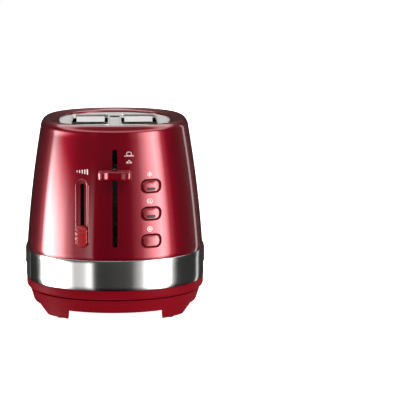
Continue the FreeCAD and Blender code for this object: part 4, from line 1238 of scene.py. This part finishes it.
@dataclass
class PrintedMarks:
    """Pad-printed icons: thin ink that follows the skin."""

    skin: Skin
    thickness: float = 0.06 * MM
    longest_run: float = 1.2
    sunk: float = 0.02 * MM
    lift_place: Pair = (14.4 * MM, 167.4 * MM)
    over_button: Pair = (-1.4 * MM, 12.0 * MM)
    over_slider: float = 7.0 * MM
    points: list[np.ndarray] = field(default_factory=list)
    faces: Faces = field(default_factory=list)
    used: int = 0

    def shape(self, outline: Sequence[Pair], centre: Pair) -> None:
        """Add one filled outline, given in millimetres about a centre in metres."""
        flat = np.array(outline) * MM
        count = len(flat)
        for proud in (-self.sunk, self.thickness):
            self.points.append(self.skin.about(centre, flat, proud))
        self.faces += [tuple(self.used + i for i in face) for face in capped_faces(2, count)]
        self.used += 2 * count

    def stroke(self, start: Pair, end: Pair, width: float, centre: Pair) -> None:
        """Add one line with round ends, in millimetres about a centre.

        The line is made of short runs, so that it follows the curved skin.
        """
        across, up = end[0] - start[0], end[1] - start[1]
        angle = math.degrees(math.atan2(up, across))
        runs = max(1, math.ceil(math.hypot(across, up) / self.longest_run))
        for index in range(runs):
            here = (start[0] + across * index / runs, start[1] + up * index / runs)
            there = (start[0] + across * (index + 1) / runs, start[1] + up * (index + 1) / runs)
            outline = arc(there, width / 2, angle - 90, angle + 90, 5)
            outline += arc(here, width / 2, angle + 90, angle + 270, 5)
            self.shape(outline, centre)

    def path(self, places: Sequence[Pair], width: float, centre: Pair) -> None:
        """Add joined lines through several places."""
        for here, there in zip(places, places[1:]):
            self.stroke(here, there, width, centre)

    def bread(self, centre: Pair, scale: float) -> None:
        """Add the outline of a slice of bread."""
        crown = arc((-0.7, 0.4), 1.1, 190.0, 90.0, 6) + arc((0.7, 0.4), 1.1, 90.0, -10.0, 6)
        loop = [(-1.6, -1.4)] + crown + [(1.6, -1.4), (-1.6, -1.4)]
        self.path([(x * scale, y * scale) for x, y in loop], 0.42, centre)

    def snowflake(self, centre: Pair) -> None:
        """Add the defrost mark: six arms."""
        for index in range(3):
            angle = math.radians(90 + 60 * index)
            tip = (2.5 * math.cos(angle), 2.5 * math.sin(angle))
            self.stroke((-tip[0], -tip[1]), tip, 0.55, centre)

    def reheat(self, centre: Pair) -> None:
        """Add the reheat mark: a slice over two short waves."""
        self.bread((centre[0], centre[1] + 0.6 * MM), 1.4)
        for offset in (-0.9, 0.9):
            wave = [(offset - 0.3, -0.6), (offset + 0.2, 0.1), (offset - 0.2, 0.7), (offset + 0.3, 1.4)]
            self.path(wave, 0.4, centre)

    def stop(self, centre: Pair) -> None:
        """Add the stop mark: a ring round a dot."""
        self.path(arc((0.0, 0.0), 2.3, 0.0, 360.0, 28), 0.7, centre)
        self.shape(arc((0.0, 0.0), 1.0, 0.0, 345.0, 23), centre)

    def lift(self, centre: Pair) -> None:
        """Add the lift mark: a slice on a line over an upward arrow head."""
        self.bread((centre[0], centre[1] + 4.2 * MM), 1.3)
        self.stroke((-4.7, 2.2), (4.7, 2.2), 0.5, centre)
        self.path([(-2.7, -4.7), (2.7, -4.7), (0.0, -2.0), (-2.7, -4.7)], 0.5, centre)

    def scale_marks(self, centre: Pair) -> None:
        """Add the browning scale: bars that grow from light to dark."""
        for index in range(5):
            x = (index - 2) * 2.6
            self.stroke((x, -0.8 - 0.35 * index), (x, 0.8 + 0.35 * index), 0.6 + 0.14 * index, centre)

    def build(self) -> None:
        """Make every mark as one printed piece."""
        for word, mark in (("defrost", self.snowflake), ("reheat", self.reheat), ("cancel", self.stop)):
            x, _, z = middle_of(f"{word}_button")
            mark((x + self.over_button[0], z + self.over_button[1]))
        self.lift(self.lift_place)
        x, top = middle_of("slider_surround")[0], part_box("slider_surround")[1][2]
        self.scale_marks((x, top + self.over_slider))
        Piece(
            "printed_marks", np.concatenate(self.points), self.faces, Finishes.PRINT_INK, "red_lacquer",
            crease=20.0,
        ).place()


# ------------------------------------------------------------------ repeated parts


@dataclass
class RepeatTree:
    """A Geometry Nodes tree that sets copies of one shape in a row and joins end pieces."""

    name: str
    inputs: dict[str, Any]
    tree: bpy.types.NodeTree = field(init=False)
    entry: bpy.types.Node = field(init=False)

    def __post_init__(self) -> None:
        """Make the tree with its named inputs."""
        self.tree = bpy.data.node_groups.new(self.name, "GeometryNodeTree")
        face = self.tree.interface
        face.new_socket("Geometry", in_out="INPUT", socket_type="NodeSocketGeometry")
        for name, value in self.inputs.items():
            kind = {int: "Int", float: "Float", tuple: "Vector"}[type(value)]
            face.new_socket(name, in_out="INPUT", socket_type=f"NodeSocket{kind}").default_value = value
        face.new_socket("Material", in_out="INPUT", socket_type="NodeSocketMaterial")
        face.new_socket("Geometry", in_out="OUTPUT", socket_type="NodeSocketGeometry")
        self.entry = self.tree.nodes.new("NodeGroupInput")

    def node(self, kind: str, inputs: dict | None = None, **settings: Any) -> bpy.types.Node:
        """Add one node to the tree."""
        return add_node(self.tree, kind, inputs, **settings)

    def __getitem__(self, name: str) -> Socket:
        """Output socket of one named input."""
        return self.entry.outputs[name]

    def vector(self, x: Any = 0.0, y: Any = 0.0, z: Any = 0.0) -> Socket:
        """Vector of three values or sockets."""
        return self.node("ShaderNodeCombineXYZ", {"X": x, "Y": y, "Z": z}).outputs["Vector"]

    def tube(self, radius: Any, length: Any, sides: int = 14) -> Socket:
        """Upright round bar."""
        return self.node("GeometryNodeMeshCylinder", {
            "Vertices": sides, "Radius": radius, "Depth": length,
        }).outputs["Mesh"]

    def block(self, size: Any) -> Socket:
        """Plain block."""
        return self.node("GeometryNodeMeshCube", {"Size": size}).outputs["Mesh"]

    def row(self, shape: Socket, count: Any, start: Any, step: Any, turn: Triple = ORIGIN) -> Socket:
        """Copies of a shape from a start, one step apart."""
        line = self.node("GeometryNodeMeshLine", {"Count": count, "Start Location": start, "Offset": step})
        copies = self.node("GeometryNodeInstanceOnPoints", {
            "Points": line.outputs["Mesh"], "Instance": shape, "Rotation": turn,
        })
        return copies.outputs["Instances"]

    def finish(self, *rows: Socket) -> None:
        """Join the rows, make them real, and set their material."""
        joined = self.node("GeometryNodeJoinGeometry")
        for row in rows:
            self.tree.links.new(row, joined.inputs["Geometry"])
        real = self.node("GeometryNodeRealizeInstances", {"Geometry": joined.outputs["Geometry"]})
        dressed = self.node("GeometryNodeSetMaterial", {
            "Geometry": real.outputs["Geometry"], "Material": self["Material"],
        })
        self.node("NodeGroupOutput", {"Geometry": dressed.outputs["Geometry"]})

    def make(self, name: str, values: dict[str, Any], crease: float = 40.0) -> bpy.types.Object:
        """Run the tree once.

        Args:
            name: Name of the new object.
            values: Named input values.
            crease: Angle in degrees above which edges stay sharp.

        Returns:
            A plain mesh object with no modifier left.
        """
        obj = bpy.data.objects.new(name, bpy.data.meshes.new(name))
        bpy.context.scene.collection.objects.link(obj)
        modifier = obj.modifiers.new(self.name, "NODES")
        modifier.node_group = self.tree
        for item in self.tree.interface.items_tree:
            if item.in_out == "INPUT" and item.name in values:
                modifier[item.identifier] = values[item.name]
        graph = bpy.context.evaluated_depsgraph_get()
        mesh = bpy.data.meshes.new_from_object(obj.evaluated_get(graph))
        obj.modifiers.clear()
        obj.data = mesh
        smooth(mesh, crease)
        return obj


def wire_cage_tree() -> RepeatTree:
    """Tree for a bread guide: a row of upright wires between two rails."""
    tree = RepeatTree("wire_cage", {
        "Wires": 9, "Pitch": 16.5 * MM, "Wire Radius": 0.8 * MM, "Height": 0.117, "Rail Length": 0.134,
        "First": ORIGIN, "Rail Start": ORIGIN,
    })
    wire = tree.tube(tree["Wire Radius"], tree["Height"])
    rail = tree.tube(1.05 * MM, tree["Rail Length"], 16)
    tree.finish(
        tree.row(wire, tree["Wires"], tree["First"], tree.vector(y=tree["Pitch"])),
        tree.row(rail, 2, tree["Rail Start"], tree.vector(z=tree["Height"]), (math.pi / 2, 0.0, 0.0)),
    )
    return tree


def ribbon_tree() -> RepeatTree:
    """Tree for a heating element: level runs of flat ribbon and the turns at both ends."""
    tree = RepeatTree("heating_ribbon", {
        "Runs": 12, "Pitch": 9.0 * MM, "Run Size": (0.4 * MM, 0.128, 1.6 * MM),
        "Turn Size": (0.4 * MM, 1.2 * MM, 9.0 * MM), "First": ORIGIN, "Near Turn": ORIGIN, "Far Turn": ORIGIN,
    })
    turn = tree.block(tree["Turn Size"])
    step = tree.vector(z=tree["Pitch"])
    double = tree.node("ShaderNodeVectorMath", {0: step, "Scale": 2.0}, operation="SCALE").outputs["Vector"]
    tree.finish(
        tree.row(tree.block(tree["Run Size"]), tree["Runs"], tree["First"], step),
        tree.row(turn, 6, tree["Near Turn"], double), tree.row(turn, 5, tree["Far Turn"], double),
    )
    return tree


def toothed_rack_tree() -> RepeatTree:
    """Tree for a bread rack: round fingers across a folded spine."""
    tree = RepeatTree("toothed_rack", {
        "Fingers": 9, "Pitch": 14.5 * MM, "Spine Size": (2 * MM, 0.166, 6.6 * MM),
        "Spine Middle": ORIGIN, "First": ORIGIN,
    })
    finger, step = tree.tube(0.9 * MM, 15 * MM), tree.vector(y=tree["Pitch"])
    tree.finish(
        tree.row(finger, tree["Fingers"], tree["First"], step, (0.0, math.pi / 2, 0.0)),
        tree.row(tree.block(tree["Spine Size"]), 1, tree["Spine Middle"], ORIGIN),
    )
    return tree


def screw_tree() -> RepeatTree:
    """Tree for screw heads: a tapered head on each point of a row."""
    tree = RepeatTree("pan_head_screws", {
        "Head Radius": 3.2 * MM, "Count": 2, "First": ORIGIN, "Step": ORIGIN,
    })
    head = tree.node("GeometryNodeMeshCone", {
        "Vertices": 24, "Radius Bottom": tree["Head Radius"], "Radius Top": 2.0 * MM, "Depth": 1.3 * MM,
    })
    tree.finish(tree.row(
        head.outputs["Mesh"], tree["Count"], tree["First"], tree["Step"], (math.pi, 0.0, 0.0),
    ))
    return tree


@dataclass
class ToastingChamber:
    """Bread guides, heating elements, racks and screws, each a row of repeated parts."""

    skin: Skin
    rail_radius: float = 1.1 * MM
    wire_pitch: float = 16.5 * MM
    ribbon_pitch: float = 9.0 * MM
    ribbon: float = 1.6 * MM
    ribbon_turn: float = 1.2 * MM
    tooth_pitch: float = 14.5 * MM
    spine: float = 2 * MM
    spine_drop: float = 1.4 * MM
    screw_places: Triple = (36 * MM, 96 * MM, 9.6 * MM)

    def guide(self, tree: RepeatTree, word: str) -> None:
        """Make one wire cage."""
        node = f"bread_guide_{word}"
        x = middle_of(node)[0]
        low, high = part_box(node)
        bottom, top = low[2] + self.rail_radius, high[2] - self.rail_radius
        cage = tree.make(f"wire_cage_{word}", {
            "Height": top - bottom, "Rail Length": high[1] - low[1], "Pitch": self.wire_pitch,
            "First": (x, self.skin.middle - 4 * self.wire_pitch, (top + bottom) / 2),
            "Rail Start": (x, self.skin.middle, bottom), "Material": Finishes.PLATED_WIRE.material,
        })
        join(cage, f"guide_{word}", "plated_wire", node)

    def element(self, tree: RepeatTree, word: str) -> None:
        """Make one heating element."""
        node = f"heater_ribbon_{word}"
        x, y, _ = middle_of(node)
        low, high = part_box(node)
        thick = high[0] - low[0] - 0.02 * MM
        pitch, wide, turn = self.ribbon_pitch, self.ribbon, self.ribbon_turn
        first = low[2] + wide / 2
        element = tree.make(f"heating_element_{word}", {
            "Pitch": pitch, "Run Size": (thick, high[1] - low[1], wide),
            "Turn Size": (thick, turn, pitch + wide),
            "First": (x, y, first), "Near Turn": (x, low[1] + turn / 2, first + pitch / 2),
            "Far Turn": (x, high[1] - turn / 2, first + pitch * 1.5),
            "Material": Finishes.HEATING_ALLOY.material,
        })
        join(element, ROOT, "ribbon_alloy", node)

    def rack(self, tree: RepeatTree, word: str) -> None:
        """Make one bread rack."""
        node = f"bread_rack_{word}"
        x, y, _ = middle_of(node)
        low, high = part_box(node)
        rack = tree.make(f"toothed_rack_{word}", {
            "Pitch": self.tooth_pitch,
            "Spine Size": (self.spine, high[1] - low[1], high[2] - low[2] - self.spine_drop),
            "Spine Middle": (x, y, (low[2] + high[2] - self.spine_drop) / 2),
            "First": (x, self.skin.middle - 4 * self.tooth_pitch, high[2] - 0.9 * MM),
            "Material": Finishes.PLATED_WIRE.material,
        })
        join(rack, "carriage", "plated_wire", node)

    def build(self) -> None:
        """Make everything inside the slots, and the screws under the floor."""
        walls = [f"{word}_{wall}" for _, word in SIDES for wall in ("outer", "inner")]
        words = [word for _, word in SIDES]
        for make, tree, places in (
            (self.guide, wire_cage_tree(), walls), (self.element, ribbon_tree(), walls),
            (self.rack, toothed_rack_tree(), words),
        ):
            for word in places:
                make(tree, word)
        across, along, height = self.screw_places
        tree = screw_tree()
        for side, word in SIDES:
            pair = tree.make(f"base_screws_{word}", {
                "First": (side * across, self.skin.middle - along, height), "Step": (0.0, 2 * along, 0.0),
                "Material": Finishes.ZINC_SHEET.material,
            })
            join(pair, ROOT, "chassis_steel")


@dataclass
class DressedNodes:
    """Finishes of the frame's own nodes that keep their shape."""

    zinc: str = (
        "front_chassis_plate rear_chassis_plate heat_shield_left heat_shield_right centre_reflector "
        "spring_bracket carriage armature_plate crumb_tray board_screws"
    )
    black: str = (
        "button_switches slider_potentiometer board_posts tray_rails mains_switch cord_inlet "
        "crumb_tray_handle"
    )
    mica: str = (
        "heater_board_left_outer heater_board_left_inner heater_board_right_inner heater_board_right_outer"
    )

    def choice(self) -> dict[str, Finishes]:
        """Finish of each node that keeps its shape."""
        groups = {
            self.zinc: Finishes.ZINC_SHEET, self.black: Finishes.BLACK_ABS, self.mica: Finishes.MICA,
            "guide_rods": Finishes.PLATED_WIRE, "carriage_spring": Finishes.SPRING_WIRE,
            "latch_magnet_core": Finishes.MAGNET_IRON, "latch_magnet_coil": Finishes.COIL_WIRE,
            "control_board": Finishes.SOLDER_MASK, "terminal_block": Finishes.WHITE_NYLON,
            "foot_pads": Finishes.RUBBER,
        }
        return {name: finish for names, finish in groups.items() for name in names.split()}

    def build(self, nodes: dict[str, bpy.types.Object]) -> None:
        """Dress every node, mica boards included.

        Args:
            nodes: The frame's node objects by name.
        """
        for name, finish in self.choice().items():
            for slot in nodes[name].material_slots:
                slot.material = finish.material
            log.info("%s dressed in %s", name, finish.value.name)


# ------------------------------------------------------------------ studio


@dataclass
class Studio:
    """Pale floor, soft surrounding light and the camera."""

    eye: Triple = (-0.0008, -2.339, 0.3844)
    pitch: float = 6.70
    yaw: float = 2.25
    focal: float = 198.0
    peak: float = 18.0
    sensor: float = 36.0
    far_limit: float = 50.0
    floor_half: float = 6.0
    # Where the light changes, as shares of a direction: above, in front, behind and below.
    side_tilt: float = 0.12
    above: Pair = (0.08, 0.26)
    facing: Pair = (-0.5, -0.1)
    behind: Pair = (-0.80, -0.95)
    below: Pair = (-0.5, -0.25)
    dim: float = 0.08
    panels: tuple[Pair, ...] = (
        (-180, 0.02), (-135, 0.03), (-125, 0.4), (-116, 13.0), (-100, 16.0), (-86, 11.5), (-75, 4.0),
        (-62, 0.9), (-46, 1.1), (-36, 2.6), (-31, 0.06), (-18, 0.06), (14, 0.09), (24, 0.12),
        (40, 1.1), (56, 6.5), (72, 12.5), (79, 8.5), (88, 0.8), (98, 0.05), (144, 0.04), (146, 1.6),
        (149, 1.6), (151, 0.03), (180, 0.02),
    )
    front_arch: tuple[Pair, ...] = (
        (0.40, 0.1), (0.47, 3.0), (0.64, 3.0), (0.74, 0.25), (1.0, 0.35),
    )
    rear_arch: tuple[Pair, ...] = (
        (0.0, 0.02), (0.44, 0.05), (0.54, 2.3), (0.76, 2.3), (0.84, 0.4), (1.0, 0.35),
    )

    def levels(self, tree: bpy.types.NodeTree, value: Socket, stops: Sequence[Pair]) -> Socket:
        """Light levels along one value, as shares of the peak.

        Args:
            tree: World's node tree.
            value: Position socket, from 0 to 1.
            stops: Positions and light levels.

        Returns:
            Grey colour socket.
        """
        return grade(tree, value, [(place, (level / self.peak,) * 3 + (1.0,)) for place, level in stops])

    def camera(self) -> None:
        """Place the camera a little above the toaster and far in front of it."""
        data = bpy.data.cameras.new("camera")
        data.lens = self.focal
        data.sensor_width = self.sensor
        data.clip_end = self.far_limit
        obj = bpy.data.objects.new("camera", data)
        obj.location = self.eye
        obj.rotation_euler = (math.radians(90 - self.pitch), 0.0, math.radians(-self.yaw))
        bpy.context.scene.collection.objects.link(obj)
        bpy.context.scene.camera = obj

    def floor(self) -> None:
        """Lay the pale floor."""
        half = self.floor_half
        mesh = bpy.data.meshes.new("floor")
        corners = [(-half, -half, 0), (half, -half, 0), (half, half, 0), (-half, half, 0)]
        mesh.from_pydata(corners, [], [(0, 1, 2, 3)])
        material = bpy.data.materials.new("matt_white_floor")
        material.use_nodes = True
        shader = material.node_tree.nodes["Principled BSDF"]
        for name, value in {
            "Base Color": linear("f4f4f4"), "Roughness": 0.9, "Emission Color": linear("ffffff"),
            "Emission Strength": 1.0, "Specular IOR Level": 0.0,
        }.items():
            shader.inputs[name].default_value = value
        mesh.materials.append(material)
        obj = bpy.data.objects.new("floor", mesh)
        obj.visible_glossy = False
        bpy.context.scene.collection.objects.link(obj)

    def surroundings(self) -> None:
        """Light the toaster with panels at both sides, and show white behind it."""
        world = bpy.data.worlds.new("studio")
        world.use_nodes = True
        bpy.context.scene.world = world
        tree = world.node_tree
        tree.nodes.clear()
        place = add_node(tree, "ShaderNodeTexCoord")
        split = add_node(tree, "ShaderNodeSeparateXYZ", {"Vector": place.outputs["Generated"]})
        x, y, z = split.outputs
        back = compute(tree, "MULTIPLY", y, -1.0)
        share = remap(tree, compute(tree, "ARCTAN2", x, back), (-math.pi, math.pi))
        around = self.levels(tree, share, [((a + 180) / 360, v) for a, v in self.panels])
        facing = remap(tree, back, self.facing, kind="SMOOTHSTEP")
        rear, front = (self.levels(tree, z, arch) for arch in (self.rear_arch, self.front_arch))
        height = compute(tree, "MULTIPLY_ADD", x, -self.side_tilt, z)
        above = remap(tree, height, self.above, kind="SMOOTHSTEP")
        behind = remap(tree, back, self.behind)
        lifted = compute(tree, "MAXIMUM", above, behind)
        studio = add_node(tree, "ShaderNodeBackground", {
            "Color": blend(tree, lifted, around, blend(tree, facing, rear, front)),
            "Strength": remap(tree, z, self.below, (self.dim * self.peak, self.peak)),
        })
        white = add_node(tree, "ShaderNodeBackground", {"Color": linear("ffffff")})
        path = add_node(tree, "ShaderNodeLightPath")
        chosen = add_node(tree, "ShaderNodeMixShader", {
            0: path.outputs["Is Camera Ray"], 1: studio.outputs[0], 2: white.outputs[0],
        })
        add_node(tree, "ShaderNodeOutputWorld", {"Surface": chosen.outputs[0]})

    def build(self) -> None:
        """Set up the whole studio."""
        self.camera()
        self.floor()
        self.surroundings()
        bpy.context.scene.view_settings.view_transform = "Standard"


def main() -> None:
    """Build the toaster round its frame."""
    logging.basicConfig(level=logging.INFO, format="%(name)s: %(message)s")
    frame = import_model()
    skin = Skin.from_frame()
    DressedNodes().build(frame["nodes"])
    for part in (
        HousingShell(skin), TopDeck(skin), WaistBand(skin), BaseMoulding(skin), LeverHandle(),
        BrowningControl(skin), PushButtons(skin), PrintedMarks(skin), ToastingChamber(skin), Studio(),
    ):
        log.info("building %s", type(part).__name__)
        part.build()


if __name__ == "__main__":
    main()
